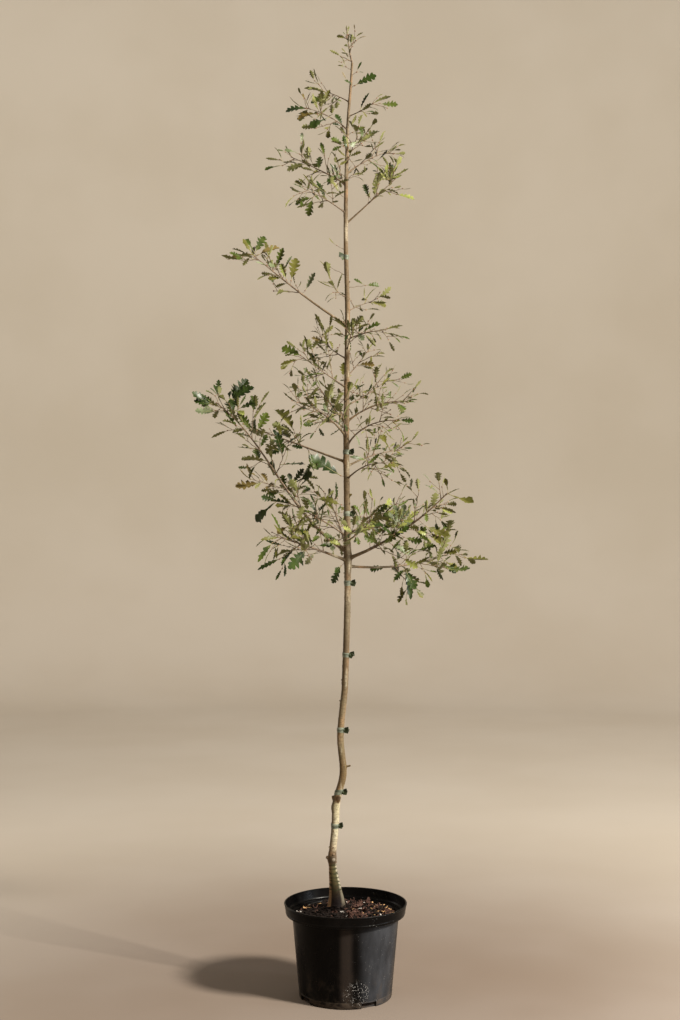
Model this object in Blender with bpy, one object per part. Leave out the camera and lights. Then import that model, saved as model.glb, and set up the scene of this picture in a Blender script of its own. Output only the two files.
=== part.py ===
"""Young narrow-leaved oak, about 2.2 m tall, growing in a round black nursery pot.

Metres, +Z up. The origin is the middle of the pot's flat underside. Bearings run anticlockwise from
+X as seen from above, and rises are degrees above the horizontal.

The trunk stays whole from the compost to the foot of its leader. The larger limbs start as a bare
bough that ends where its leaves begin, and the smaller ones spring from the trunk as leafy shoots.
Every mass of foliage is grown by one seeded rule: shoots leave a stem a golden angle apart, leaves
leave the shoots in the same way, and whatever would touch a neighbour is left out.
"""

import math
import random
from collections import namedtuple

import bmesh
import bpy
import numpy as np
from mathutils import Matrix, Vector

# ---------------------------------------------------------------- pot
POT_HEIGHT = 0.212
POT_RIM_RADIUS = 0.140
POT_COLLAR_FOOT_RADIUS = 0.1355
POT_NECK_RADIUS = 0.1215
POT_BASE_RADIUS = 0.1050
POT_COLLAR_HEIGHT = 0.027
POT_WALL = 0.0022
POT_BEAD = 0.0012
POT_SIDES = 36
DRAIN_SLOTS = 4
DRAIN_SLOT_WIDTH = 0.038
DRAIN_SLOT_HEIGHT = 0.0125
DRAIN_SLOT_DEPTH = 0.012
DRAIN_SLOT_BEARING = 30.0

# ---------------------------------------------------------------- compost and its roots
GAP = 0.0003
COMPOST_LEVEL = 0.1922
COMPOST_EDGE_DROP = 0.008
COMPOST_FLAT_RADIUS = 0.062
COMPOST_SIDES = 28

# ---------------------------------------------------------------- trunk
TRUNK_FOOT = COMPOST_LEVEL + GAP
TRUNK_TOP = 2.125
TRUNK_SIDES = 8
TRUNK_RING_SPACING = 0.064
FLARE_RING_SPACING = 0.0155
FLARE_TOP = 0.330
# height, offset towards +X, offset towards +Y
TRUNK_BENDS = (
    (TRUNK_FOOT, -0.0215, 0.014),
    (0.232, -0.0225, 0.013),
    (0.305, -0.0300, 0.006),
    (0.385, -0.0235, 0.005),
    (0.440, -0.0205, 0.003),
    (0.505, -0.0055, -0.003),
    (0.590, -0.0115, -0.002),
    (0.700, -0.0015, 0.004),
    (0.950, 0.0050, -0.003),
    (1.260, 0.0018, 0.004),
    (1.550, 0.0045, -0.003),
    (1.750, 0.0005, 0.000),
    (1.980, 0.0050, 0.002),
    (TRUNK_TOP, 0.0150, 0.000),
)
# height, radius
TRUNK_GIRTH = (
    (TRUNK_FOOT, 0.0235),
    (0.206, 0.0198),
    (0.232, 0.0150),
    (0.267, 0.0112),
    (0.296, 0.0082),
    (0.440, 0.0090),
    (0.556, 0.0078),
    (0.780, 0.0074),
    (1.050, 0.0075),
    (1.400, 0.0063),
    (1.700, 0.0051),
    (1.886, 0.0042),
    (TRUNK_TOP, 0.0026),
)
# height, extra radius and half length of the two swellings
TRUNK_KNOTS = ((0.308, 0.0014, 0.012), (0.998, 0.0012, 0.030))

# ---------------------------------------------------------------- tape ties
TIE_HEIGHTS = (0.3855, 0.4630, 0.6045, 0.7755, 0.9395, 1.0970, 1.2380, 1.6830)
TIE_WIDTH = 0.012
TIE_THICKNESS = 0.0012
TIE_TAIL_LENGTH = 0.010
TIE_TAIL_THICKNESS = 0.003
TIE_BEARING = 335.0
TIE_BEARING_HIGH = 205.0
TIE_HIGH = 1.5

# ---------------------------------------------------------------- limbs
# foot: height on the trunk's axis; bearing and turn: where it points and how far it swings;
# rises: at foot, middle and tip; bare: length with no leaves; shoots, shoot_length, leaf_length: foliage
Limb = namedtuple("Limb", "name foot bearing turn rises length bare radius shoots shoot_length leaf_length")
LOW_LIMBS = (
    Limb("right_low", 0.995, 341, 0, (20, 32, 45), 0.270, 0.050, 0.0042, 8, 0.085, 0.054),
    Limb("right_under", 0.978, 22, 0, (-5, 6, 24), 0.270, 0.100, 0.0030, 6, 0.080, 0.054),
    Limb("left_low", 0.990, 206, 0, (20, 18, 15), 0.175, 0.050, 0.0034, 8, 0.075, 0.050),
    Limb("left_long", 1.010, 171, 0, (29, 56, 36), 0.455, 0.150, 0.0036, 9, 0.080, 0.064),
    Limb("back_low", 1.006, 95, 15, (25, 32, 40), 0.220, 0.060, 0.0030, 7, 0.080, 0.054),
    Limb("front_low", 1.035, 290, 0, (15, 18, 22), 0.145, 0.030, 0.0022, 4, 0.055, 0.052),
    Limb("left_bushy", 1.045, 185, 0, (35, 30, 25), 0.145, 0.022, 0.0022, 6, 0.065, 0.048),
    Limb("right_bushy", 1.050, 15, 0, (30, 28, 25), 0.125, 0.022, 0.0022, 5, 0.060, 0.052),
)
MIDDLE_LIMBS = (
    Limb("left_mid", 1.215, 165, 0, (20, 20, 20), 0.200, 0.085, 0.0027, 5, 0.065, 0.056),
    Limb("right_mid_low", 1.175, 310, 0, (35, 15, -5), 0.130, 0.040, 0.0020, 4, 0.055, 0.044),
    Limb("right_mid", 1.205, 35, 0, (25, 15, 5), 0.150, 0.050, 0.0023, 5, 0.060, 0.044),
    Limb("right_mid_up", 1.250, 325, 20, (55, 25, -5), 0.135, 0.040, 0.0023, 4, 0.058, 0.044),
    Limb("left_mid_up", 1.272, 212, 0, (50, 30, 10), 0.145, 0.035, 0.0025, 7, 0.060, 0.044),
    Limb("left_mid_back", 1.300, 135, 0, (45, 45, 45), 0.145, 0.030, 0.0022, 5, 0.058, 0.044),
    Limb("right_high_mid", 1.306, 345, 0, (40, 18, -5), 0.145, 0.035, 0.0023, 6, 0.058, 0.044),
    Limb("right_mid_back", 1.345, 40, 0, (20, 28, 35), 0.135, 0.030, 0.0020, 5, 0.058, 0.044),
    Limb("back_mid", 1.325, 90, 0, (30, 25, 20), 0.160, 0.035, 0.0021, 5, 0.058, 0.046),
    Limb("front_mid", 1.270, 265, 0, (30, 22, 14), 0.130, 0.030, 0.0019, 4, 0.052, 0.046),
    Limb("left_upper_mid", 1.385, 200, 0, (30, 32, 35), 0.125, 0.025, 0.0020, 5, 0.055, 0.046),
    Limb("right_upper_mid", 1.410, 40, 0, (40, 45, 50), 0.085, 0.015, 0.0017, 3, 0.042, 0.042),
    Limb("left_upper_back", 1.450, 150, -20, (25, 35, 45), 0.095, 0.018, 0.0017, 3, 0.045, 0.046),
    Limb("front_upper", 1.470, 280, 0, (35, 30, 25), 0.080, 0.015, 0.0016, 3, 0.040, 0.044),
    Limb("right_upper", 1.495, 335, 0, (20, 10, 0), 0.090, 0.018, 0.0017, 3, 0.045, 0.042),
    Limb("left_high", 1.526, 190, 0, (30, 36, 38), 0.255, 0.120, 0.0027, 4, 0.056, 0.054),
    Limb("right_small", 1.558, 35, 0, (30, 22, 15), 0.065, 0.012, 0.0014, 2, 0.036, 0.040),
    Limb("left_small", 1.590, 205, 20, (15, 35, 55), 0.050, 0.012, 0.0013, 1, 0.030, 0.040),
)
CROWN_LIMBS = (
    Limb("right_crown_low", 1.758, 347, 0, (40, 40, 40), 0.145, 0.055, 0.0020, 4, 0.050, 0.044),
    Limb("left_crown_low", 1.783, 210, 0, (30, 22, 15), 0.110, 0.028, 0.0018, 5, 0.052, 0.040),
    Limb("back_crown", 1.835, 98, 0, (35, 30, 25), 0.110, 0.020, 0.0017, 4, 0.050, 0.040),
    Limb("left_crown_mid", 1.850, 163, 0, (30, 28, 25), 0.145, 0.040, 0.0019, 5, 0.052, 0.040),
    Limb("right_crown_mid", 1.872, 25, 0, (40, 30, 20), 0.120, 0.035, 0.0018, 4, 0.050, 0.040),
    Limb("front_crown", 1.895, 285, 0, (30, 24, 18), 0.095, 0.018, 0.0016, 4, 0.045, 0.040),
    Limb("left_crown_high", 1.973, 200, 0, (40, 22, 5), 0.105, 0.022, 0.0015, 3, 0.045, 0.040),
    Limb("right_top", 2.004, 340, 0, (15, 22, 30), 0.060, 0.012, 0.0013, 2, 0.035, 0.044),
    Limb("left_top", 2.036, 155, 0, (35, 25, 15), 0.080, 0.015, 0.0013, 2, 0.038, 0.038),
)
LEADER = Limb("leader", TRUNK_TOP, 165, 0, (76, 80, 84), 0.062, 0.0, 0.0022, 3, 0.028, 0.028)
# limbs whose bare stretch is a piece of its own
BOUGH_LIMBS = (
    "right_low", "right_under", "left_low", "left_long", "back_low", "left_mid", "right_mid",
    "left_mid_up", "right_high_mid", "left_high", "right_crown_low", "left_crown_mid",
    "right_crown_mid",
)
BOUGH_SIDES = 6
BOUGH_TAPER = 0.80
BOUGH_STEPS = 3
STEM_SIDES = 4
STEM_TAPER = 0.40
STEM_STEPS = 5
PATH_STEPS = 16
SWAY = 7.0
SWAY_STEP = 2.4

# ---------------------------------------------------------------- growth rule
SEED = 11
GOLDEN_ANGLE = 137.5
SHOOT_SPLIT = (42.0, 65.0)
SHOOT_LIFT = 0.06
SHOOT_SHORTENING = 0.45
SHOOT_SPAN = (0.05, 0.92)
SHOOT_RADIUS = 0.0012
SHOOT_TIP_RADIUS = 0.0008
LEAF_SPACING = 0.023
STEM_LEAF_SPACING = 0.045
LEAF_SPLIT = (38.0, 62.0)
END_LEAF_SPLIT = (5.0, 25.0)
LEAF_LIFT = 0.02
LEAF_ROLL = 45.0
LEAF_SIZES = (0.75, 1.22)
LEAF_WIDTH = 0.32
LEAF_WIDEST = 0.56
LEAF_KEEL = 0.045
LEAF_ROOT_HALF = 0.00032
LEAF_CLEARANCE = 0.0008
CROWDING = 0.35
LEAF_STALK = 0.006
REACH_SPARE = 0.65

UP = Vector((0.0, 0.0, 1.0))


# ---------------------------------------------------------------- scene helpers
def clear_scene():
    """Take every object out of the open scene."""
    for thing in list(bpy.data.objects):
        bpy.data.objects.remove(thing, do_unlink=True)


def finish(name, colour, roughness):
    """One Principled material."""
    made = bpy.data.materials.new(name)
    made.use_nodes = True
    shader = made.node_tree.nodes["Principled BSDF"]
    shader.inputs["Base Color"].default_value = (*colour, 1.0)
    shader.inputs["Roughness"].default_value = roughness
    shader.inputs["Metallic"].default_value = 0.0
    made.diffuse_color = (*colour, 1.0)
    return made


def add_object(name, bm, material=None, collection=None):
    """Turn a bmesh into an object, with its faces pointing out."""
    bmesh.ops.recalc_face_normals(bm, faces=bm.faces)
    mesh = bpy.data.meshes.new(name)
    bm.to_mesh(mesh)
    bm.free()
    if material:
        mesh.materials.append(material)
    made = bpy.data.objects.new(name, mesh)
    (collection or bpy.context.scene.collection).objects.link(made)
    return made


def make_guide(thing):
    """Mark an object as a cutter, which is not a piece of the plant."""
    thing.hide_render = True
    thing.display_type = "WIRE"
    return thing


def boolean(thing, operation, other):
    """Cut or join an object with another one, or with a whole collection."""
    modifier = thing.modifiers.new(operation.lower(), "BOOLEAN")
    modifier.operation = operation
    modifier.solver = "EXACT"
    if isinstance(other, bpy.types.Collection):
        modifier.operand_type = "COLLECTION"
        modifier.collection = other
    else:
        modifier.object = other


def apply_modifiers(thing):
    """Replace an object's mesh by the one that its modifiers give."""
    evaluated = thing.evaluated_get(bpy.context.evaluated_depsgraph_get())
    applied = bpy.data.meshes.new_from_object(evaluated)
    thing.modifiers.clear()
    thing.data = applied


# ---------------------------------------------------------------- shapes
def lathe(profile, sides):
    """Solid turned round Z from (radius, height) points that start and end on the axis."""
    bm = bmesh.new()
    points = [bm.verts.new((radius, 0.0, height)) for radius, height in profile]
    edges = [bm.edges.new(pair) for pair in zip(points, points[1:])]
    bmesh.ops.spin(bm, geom=points + edges, axis=UP, cent=(0, 0, 0), angle=math.tau, steps=sides,
                   use_merge=True)
    bmesh.ops.remove_doubles(bm, verts=bm.verts, dist=1e-6)
    return bm


def tube(path, radii, sides, level=False, facing=None):
    """Closed tube along a path; level keeps every ring horizontal, and facing turns the first one."""
    bm = bmesh.new()
    points = [Vector(point) for point in path]
    rings = []
    heading = UP if level else (facing or (points[1] - points[0]).normalized())
    frame = UP.rotation_difference(heading).to_matrix().to_4x4()
    for index, (point, radius) in enumerate(zip(points, radii)):
        if not level and 0 < index:
            after = points[min(index + 1, len(points) - 1)]
            turned = (after - points[index - 1]).normalized()
            frame = heading.rotation_difference(turned).to_matrix().to_4x4() @ frame
            heading = turned
        ring = bmesh.ops.create_circle(bm, segments=sides, radius=radius,
                                       matrix=Matrix.Translation(point) @ frame)["verts"]
        rings.append({edge for vert in ring for edge in vert.link_edges})
    for lower, upper in zip(rings, rings[1:]):
        bmesh.ops.bridge_loops(bm, edges=list(lower | upper))
    bmesh.ops.holes_fill(bm, edges=list(rings[0] | rings[-1]), sides=sides)
    return bm


def smooth(table, height):
    """Value at a height from rows of (height, values...), eased between the rows."""
    heights = [row[0] for row in table]
    index = max(0, min(len(table) - 2, int(np.searchsorted(heights, height, side="right")) - 1))
    share = (height - heights[index]) / (heights[index + 1] - heights[index])
    share = min(max(share, 0.0), 1.0)
    before, low, high, after = (
        np.array(table[max(0, min(len(table) - 1, index + step))][1:]) for step in (-1, 0, 1, 2))
    bend = (-before + high) * share
    bend = bend + (2 * before - 5 * low + 4 * high - after) * share ** 2
    bend = bend + (-before + 3 * low - 3 * high + after) * share ** 3
    return low + bend / 2


def trunk_centre(height):
    """Middle of the trunk at a height."""
    across, back = smooth(TRUNK_BENDS, height)
    return Vector((across, back, height))


def trunk_radius(height):
    """Radius of the trunk at a height, with its swellings."""
    knots = sum(extra * math.exp(-((height - at) / half) ** 2) for at, extra, half in TRUNK_KNOTS)
    return float(np.interp(height, *zip(*TRUNK_GIRTH))) + knots


def trunk_heights():
    """Heights of the trunk's rings, closer together in the root flare."""
    flare = round((FLARE_TOP - TRUNK_FOOT) / FLARE_RING_SPACING)
    shaft = round((TRUNK_TOP - FLARE_TOP) / TRUNK_RING_SPACING)
    low = np.linspace(TRUNK_FOOT, FLARE_TOP, flare + 1)
    return [*low, *np.linspace(FLARE_TOP, TRUNK_TOP, shaft + 1)[1:]]


def bearing_vector(bearing, rise):
    """Unit vector at a bearing and a rise."""
    around, above = math.radians(bearing), math.radians(rise)
    return Vector((math.cos(around) * math.cos(above), math.sin(around) * math.cos(above), math.sin(above)))


# ---------------------------------------------------------------- growth rule
class Room:
    """Rods taken up so far: lines with a radius, each with the name of its owner."""

    def __init__(self):
        self.starts, self.ends, self.radii, self.owners = [], [], [], []

    def take(self, start, end, radius, owner):
        """Note one more rod."""
        self.starts.append(start)
        self.ends.append(end)
        self.radii.append(radius)
        self.owners.append(owner)

    def take_path(self, path, radius, owner):
        """Note a rod for each stretch of a path."""
        for start, end in zip(path, path[1:]):
            self.take(start, end, radius, owner)

    def is_free(self, start, end, radius, owner):
        """Whether a new rod stays clear of every rod that has another owner."""
        others = [index for index, name in enumerate(self.owners) if name != owner]
        if not others:
            return True
        starts = np.array([self.starts[index] for index in others])
        ends = np.array([self.ends[index] for index in others])
        radii = np.array([self.radii[index] for index in others])
        line, lines, offset = np.array(end - start), ends - starts, np.array(start) - starts
        own, cross = line @ line, lines @ line
        squares = np.einsum("ij,ij->i", lines, lines)
        ahead, beside = offset @ line, np.einsum("ij,ij->i", offset, lines)
        spread = np.maximum(own * squares - cross * cross, 1e-12)
        here = np.clip((cross * beside - squares * ahead) / spread, 0, 1)
        there = np.clip((cross * here + beside) / squares, 0, 1)
        here = np.clip((cross * there - ahead) / own, 0, 1)
        gaps = np.linalg.norm(offset + here[:, None] * line - there[:, None] * lines, axis=1)
        return bool((gaps > radii + radius + LEAF_CLEARANCE).all())


def limb_path(limb):
    """Even steps along a limb, from the trunk's axis to its tip."""
    point = trunk_centre(limb.foot)
    path = [point]
    foot, middle, tip = limb.rises
    for step in range(PATH_STEPS):
        share = (step + 0.5) / PATH_STEPS
        rise = foot + (4 * middle - 3 * foot - tip) * share + 2 * (foot + tip - 2 * middle) * share ** 2
        sway = SWAY * math.sin(SWAY_STEP * step + 50 * limb.foot)
        heading = bearing_vector(limb.bearing + limb.turn * share + sway, rise)
        point = point + heading * (limb.length + trunk_radius(limb.foot)) / PATH_STEPS
        path.append(point)
    return path


def place_on(path, share):
    """Point and heading at a share of a path's even steps."""
    place = min(max(share, 0.0), 1.0) * (len(path) - 1)
    index = min(int(place), len(path) - 2)
    step = path[index + 1] - path[index]
    return path[index] + step * (place - index), step.normalized()


def stretch(path, first, last, steps):
    """Part of a path between two shares, in even steps."""
    return [place_on(path, first + (last - first) * step / steps)[0] for step in range(steps + 1)]


def split_from(axis, turn, split, lift):
    """Heading that leaves an axis by split degrees, turned round it, and lifted a little."""
    side = axis.cross(UP)
    side = side.normalized() if side.length > 1e-3 else Vector((1.0, 0.0, 0.0))
    top = side.cross(axis)
    turn, split = math.radians(turn), math.radians(split)
    away = top * math.cos(turn) + side * math.sin(turn)
    return (axis * math.cos(split) + away * math.sin(split) + UP * lift).normalized()


Leaf = namedtuple("Leaf", "root heading size roll")
Mass = namedtuple("Mass", "limb bough stem shoots leaves")


def leaves_along(rng, path, count, first, leaf_length):
    """Leaves a golden angle apart along a shoot, the last one at its end."""
    made = []
    spin = rng.uniform(0, 360)
    for index in range(count):
        root, axis = place_on(path, first + (0.95 - first) * index / max(count - 1, 1))
        limits = END_LEAF_SPLIT if index == count - 1 else LEAF_SPLIT
        turn = spin + GOLDEN_ANGLE * index + rng.uniform(-20, 20)
        heading = split_from(axis, turn, rng.uniform(*limits), LEAF_LIFT)
        size = leaf_length * rng.uniform(*LEAF_SIZES)
        made.append(Leaf(root, heading, size, rng.uniform(-LEAF_ROLL, LEAF_ROLL)))
    return made


def grow_shoots(rng, limb, stem, room):
    """Side shoots of a stem that fit in the room left."""
    made = []
    spin = rng.uniform(0, 360)
    for index in range(limb.shoots):
        share = (index + rng.uniform(-0.2, 0.2)) / max(limb.shoots - 1, 1)
        share = SHOOT_SPAN[0] + (SHOOT_SPAN[1] - SHOOT_SPAN[0]) * min(max(share, 0.0), 1.0)
        root, axis = place_on(stem, share)
        heading = split_from(axis, spin + GOLDEN_ANGLE * index, rng.uniform(*SHOOT_SPLIT), SHOOT_LIFT)
        size = limb.shoot_length * (1 - SHOOT_SHORTENING * share) * rng.uniform(0.7, 1.2)
        tip = root + heading * size
        if room.is_free(root + heading * LEAF_STALK, tip, SHOOT_RADIUS, limb.name):
            made.append((root, tip))
            room.take(root, tip, SHOOT_RADIUS, limb.name)
    return made


def within_reach(limb, stem, point):
    """Whether a point lies in the space that a mass keeps to."""
    reach = limb.shoot_length + REACH_SPARE * limb.leaf_length
    return min((point - spot).length for spot in stem) < reach


def grow_mass(limb, path, bare_share, room):
    """Stem, shoots and leaves of one mass of foliage."""
    rng = random.Random(SEED * sum(map(ord, limb.name)))
    stem = stretch(path, bare_share, 1.0, STEM_STEPS)
    shoots = grow_shoots(rng, limb, stem, room)
    count = max(3, round((limb.length - limb.bare) / STEM_LEAF_SPACING))
    grown = leaves_along(rng, stem, count, 0.30, limb.leaf_length)
    for shoot in shoots:
        count = max(2, round((shoot[1] - shoot[0]).length / LEAF_SPACING))
        grown += leaves_along(rng, shoot, count, 0.30, limb.leaf_length)
    leaves, crowd = [], Room()
    for leaf in grown:
        start, tip = leaf.root + leaf.heading * LEAF_STALK, leaf.root + leaf.heading * leaf.size
        half = leaf.size * LEAF_WIDTH / 2
        if not (within_reach(limb, stem, tip) and room.is_free(start, tip, half, limb.name)):
            continue
        if crowd.is_free(start, tip, half * CROWDING, limb.name):
            leaves.append(leaf)
            room.take(start, tip, half, limb.name)
            crowd.take(start, tip, half * CROWDING, "leaf")
    return Mass(limb, stretch(path, 0.0, bare_share, BOUGH_STEPS), stem, shoots, leaves)


def grow_plant():
    """Every limb's bough and mass, grown one after another in the room that the others leave."""
    room = Room()
    heights = trunk_heights()
    for low, high in zip(heights, heights[1:]):
        room.take(trunk_centre(low), trunk_centre(high), trunk_radius(low), "trunk")
    for height in TIE_HEIGHTS:
        start, tip = tie_line(height)
        room.take(start, tip, TIE_WIDTH / 2, "tie")
    limbs = (*LOW_LIMBS, *MIDDLE_LIMBS, *CROWN_LIMBS)
    paths = {}
    for limb in limbs:
        paths[limb] = limb_path(limb)
        room.take_path(paths[limb], limb.radius, limb.name)
    masses = []
    for limb in limbs:
        inside = trunk_radius(limb.foot)
        bare_share = (limb.bare + inside) / (limb.length + inside)
        masses.append(grow_mass(limb, paths[limb], bare_share, room))
    leader_path = [point + UP * (GAP + LEADER.radius / 4) for point in limb_path(LEADER)]
    masses.append(grow_mass(LEADER, leader_path, 0.0, room))
    return masses


# ---------------------------------------------------------------- pieces
def make_pot(material):
    """Tapered plastic pot with a deep collar, and drain slots cut round its foot."""
    ledge = POT_HEIGHT - POT_COLLAR_HEIGHT
    outside = [
        (0.0, 0.0), (POT_BASE_RADIUS - 0.002, 0.0), (POT_BASE_RADIUS, 0.002),
        (POT_NECK_RADIUS, ledge), (POT_COLLAR_FOOT_RADIUS - 0.001, ledge + 0.0015),
        (POT_COLLAR_FOOT_RADIUS, ledge + 0.003), (POT_RIM_RADIUS - POT_BEAD, POT_HEIGHT - 0.004),
        (POT_RIM_RADIUS, POT_HEIGHT - 0.003), (POT_RIM_RADIUS, POT_HEIGHT - 0.001),
        (POT_RIM_RADIUS - 0.001, POT_HEIGHT),
    ]
    inside = [
        (POT_RIM_RADIUS - POT_BEAD - POT_WALL, POT_HEIGHT),
        (POT_COLLAR_FOOT_RADIUS - POT_WALL, ledge + POT_WALL + 0.003),
        (POT_NECK_RADIUS - POT_WALL, ledge + POT_WALL + 0.0015),
        (POT_BASE_RADIUS - POT_WALL, POT_WALL + 0.002), (0.0, POT_WALL + 0.002),
    ]
    pot = add_object("pot", lathe(outside + inside, POT_SIDES), material)
    for index in range(DRAIN_SLOTS):
        bearing = math.radians(DRAIN_SLOT_BEARING) + math.tau * index / DRAIN_SLOTS
        block = bmesh.new()
        size = (DRAIN_SLOT_DEPTH, DRAIN_SLOT_WIDTH, 2 * DRAIN_SLOT_HEIGHT)
        place = Matrix.Rotation(bearing, 4, "Z") @ Matrix.Translation((POT_BASE_RADIUS, 0, 0))
        bmesh.ops.create_cube(block, size=1.0, matrix=place @ Matrix.Diagonal((*size, 1.0)))
        boolean(pot, "DIFFERENCE", make_guide(add_object(f"slot_{index}", block)))
    pot.data.shade_smooth()
    pot.data.set_sharp_from_angle(angle=math.radians(35))


def make_root_ball(material):
    """Compost and roots that fill the pot, a little mounded round the trunk."""
    floor = POT_WALL + 0.002 + GAP
    ledge = POT_HEIGHT - POT_COLLAR_HEIGHT
    edge = COMPOST_LEVEL - COMPOST_EDGE_DROP
    wall = POT_BASE_RADIUS - POT_WALL - 0.001
    slope = (POT_NECK_RADIUS - POT_BASE_RADIUS) / ledge
    rounded = [
        (COMPOST_FLAT_RADIUS + (wall + slope * edge - COMPOST_FLAT_RADIUS) * share,
         COMPOST_LEVEL - COMPOST_EDGE_DROP * share ** 2)
        for share in (1.0, 0.66, 0.33, 0.0)
    ]
    profile = [(0.0, floor), (wall - 0.001, floor), *rounded, (0.0, COMPOST_LEVEL)]
    ball = add_object("root_ball", lathe(profile, COMPOST_SIDES), material)
    ball.data.shade_smooth()
    ball.data.set_sharp_from_angle(angle=math.radians(35))


def make_trunk(material):
    """Trunk with its root flare, cut flat at the compost, and the sleeve that seats its limbs."""
    heights = trunk_heights()
    path = [trunk_centre(height) for height in heights]
    radii = [trunk_radius(height) for height in heights]
    trunk = add_object("trunk", tube(path, radii, TRUNK_SIDES, level=True), material)
    trunk.data.shade_smooth()
    trunk.data.set_sharp_from_angle(angle=math.radians(50))
    sleeve = tube(path, [radius + 1.1 * GAP for radius in radii], TRUNK_SIDES, level=True)
    return make_guide(add_object("trunk_sleeve", sleeve))


def tie_line(height):
    """Line from the trunk's axis to the end of a tie's tail."""
    bearing = TIE_BEARING_HIGH if height > TIE_HIGH else TIE_BEARING
    start = trunk_centre(height)
    length = trunk_radius(height) + TIE_THICKNESS + TIE_TAIL_LENGTH
    return start, start + bearing_vector(bearing, 0) * length


def make_tie(index, height, sleeve, material):
    """Band of soft tape round the trunk, with the tail of its knot."""
    heights = (height - TIE_WIDTH / 2, height + TIE_WIDTH / 2)
    radii = [trunk_radius(level) + GAP + TIE_THICKNESS for level in heights]
    band = tube([trunk_centre(level) for level in heights], radii, TRUNK_SIDES, level=True)
    tie = add_object(f"tie_{index}", band, material)
    start, tip = tie_line(height)
    middle = (start + tip) / 2
    size = ((tip - start).length, TIE_TAIL_THICKNESS, TIE_WIDTH * 0.8)
    turn = Vector((1.0, 0.0, 0.0)).rotation_difference(tip - start).to_matrix().to_4x4()
    place = Matrix.Translation(middle) @ turn @ Matrix.Diagonal((*size, 1.0))
    tail = bmesh.new()
    bmesh.ops.create_cube(tail, size=1.0, matrix=place)
    boolean(tie, "UNION", make_guide(add_object(f"tail_{index}", tail)))
    boolean(tie, "DIFFERENCE", sleeve)


def end_heading(path):
    """Heading of a path's last step."""
    return (path[-1] - path[-2]).normalized()


def make_bough(mass, sleeve, material):
    """Bare foot of a limb, seated on the trunk."""
    radius = mass.limb.radius
    radii = [radius * (1 - (1 - BOUGH_TAPER) * step / BOUGH_STEPS) for step in range(BOUGH_STEPS + 1)]
    path = [*mass.bough[:-1], mass.bough[-1] - end_heading(mass.bough) * GAP]
    bough = add_object(f"bough_{mass.limb.name}", tube(path, radii, BOUGH_SIDES), material)
    boolean(bough, "DIFFERENCE", sleeve)
    bough.data.shade_smooth()
    bough.data.set_sharp_from_angle(angle=math.radians(70))


def leaf_solid(leaf):
    """Leaf as a thin keeled blade: an upright root edge, its two widest points and its tip."""
    side = leaf.heading.cross(UP)
    side = side.normalized() if side.length > 1e-3 else Vector((1.0, 0.0, 0.0))
    top = side.cross(leaf.heading)
    roll = math.radians(leaf.roll)
    across = side * math.cos(roll) + top * math.sin(roll)
    above = across.cross(leaf.heading)
    middle = leaf.root + leaf.heading * leaf.size * LEAF_WIDEST + above * leaf.size * LEAF_KEEL
    half = across * leaf.size * LEAF_WIDTH / 2
    points = (
        leaf.root + above * LEAF_ROOT_HALF, leaf.root - above * LEAF_ROOT_HALF,
        middle - half, middle + half, leaf.root + leaf.heading * leaf.size,
    )
    bm = bmesh.new()
    for point in points:
        bm.verts.new(point)
    bmesh.ops.convex_hull(bm, input=bm.verts)
    return bm


def keep_largest_body(thing):
    """Drop loose scraps, and the walls of any hollow that fusing has sealed."""
    bm = bmesh.new()
    bm.from_mesh(thing.data)
    waiting, bodies = set(bm.faces), []
    while waiting:
        body, front = set(), [waiting.pop()]
        while front:
            face = front.pop()
            body.add(face)
            near = {other for edge in face.edges for other in edge.link_faces} & waiting
            waiting -= near
            front.extend(near)
        bodies.append(body)
    largest = max(bodies, key=len)
    bmesh.ops.delete(bm, geom=[face for face in bm.faces if face not in largest], context="FACES")
    bm.to_mesh(thing.data)
    bm.free()


def make_mass(mass, sleeve, has_bough, material):
    """One mass of foliage: its stem with every shoot and leaf fused to it."""
    limb, stem, facing = mass.limb, mass.stem, None
    foot_radius = limb.radius if limb is LEADER else limb.radius * BOUGH_TAPER
    radii = [foot_radius * (1 - (1 - STEM_TAPER) * step / STEM_STEPS) for step in range(STEM_STEPS + 1)]
    if has_bough:
        facing = end_heading(mass.bough)
    elif limb is not LEADER:
        stem = [mass.bough[0], *stem]
        radii = [limb.radius, *radii]
    foliage = add_object(f"leaves_{limb.name}", tube(stem, radii, STEM_SIDES, facing=facing), material)
    parts = bpy.data.collections.new(f"parts_{limb.name}")
    bpy.context.scene.collection.children.link(parts)
    for shoot in mass.shoots:
        add_object("shoot", tube(shoot, (SHOOT_RADIUS, SHOOT_TIP_RADIUS), 3), collection=parts)
    for leaf in mass.leaves:
        add_object("leaf", leaf_solid(leaf), collection=parts)
    boolean(foliage, "UNION", parts)
    if not has_bough and limb is not LEADER:
        boolean(foliage, "DIFFERENCE", sleeve)
    apply_modifiers(foliage)
    for thing in list(parts.objects):
        bpy.data.objects.remove(thing, do_unlink=True)
    bpy.data.collections.remove(parts)
    keep_largest_body(foliage)


def main():
    """Build every piece of the plant."""
    clear_scene()
    make_pot(finish("black_plastic", (0.012, 0.012, 0.014), 0.42))
    make_root_ball(finish("compost", (0.050, 0.028, 0.018), 0.95))
    bark = finish("bark", (0.270, 0.200, 0.130), 0.80)
    sleeve = make_trunk(bark)
    tape = finish("green_tape", (0.030, 0.090, 0.070), 0.50)
    for index, height in enumerate(TIE_HEIGHTS, start=1):
        make_tie(index, height, sleeve, tape)
    green = finish("oak_leaf", (0.100, 0.140, 0.055), 0.60)
    for mass in grow_plant():
        has_bough = mass.limb.name in BOUGH_LIMBS
        if has_bough:
            make_bough(mass, sleeve, bark)
        make_mass(mass, sleeve, has_bough, green)


main()
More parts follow.
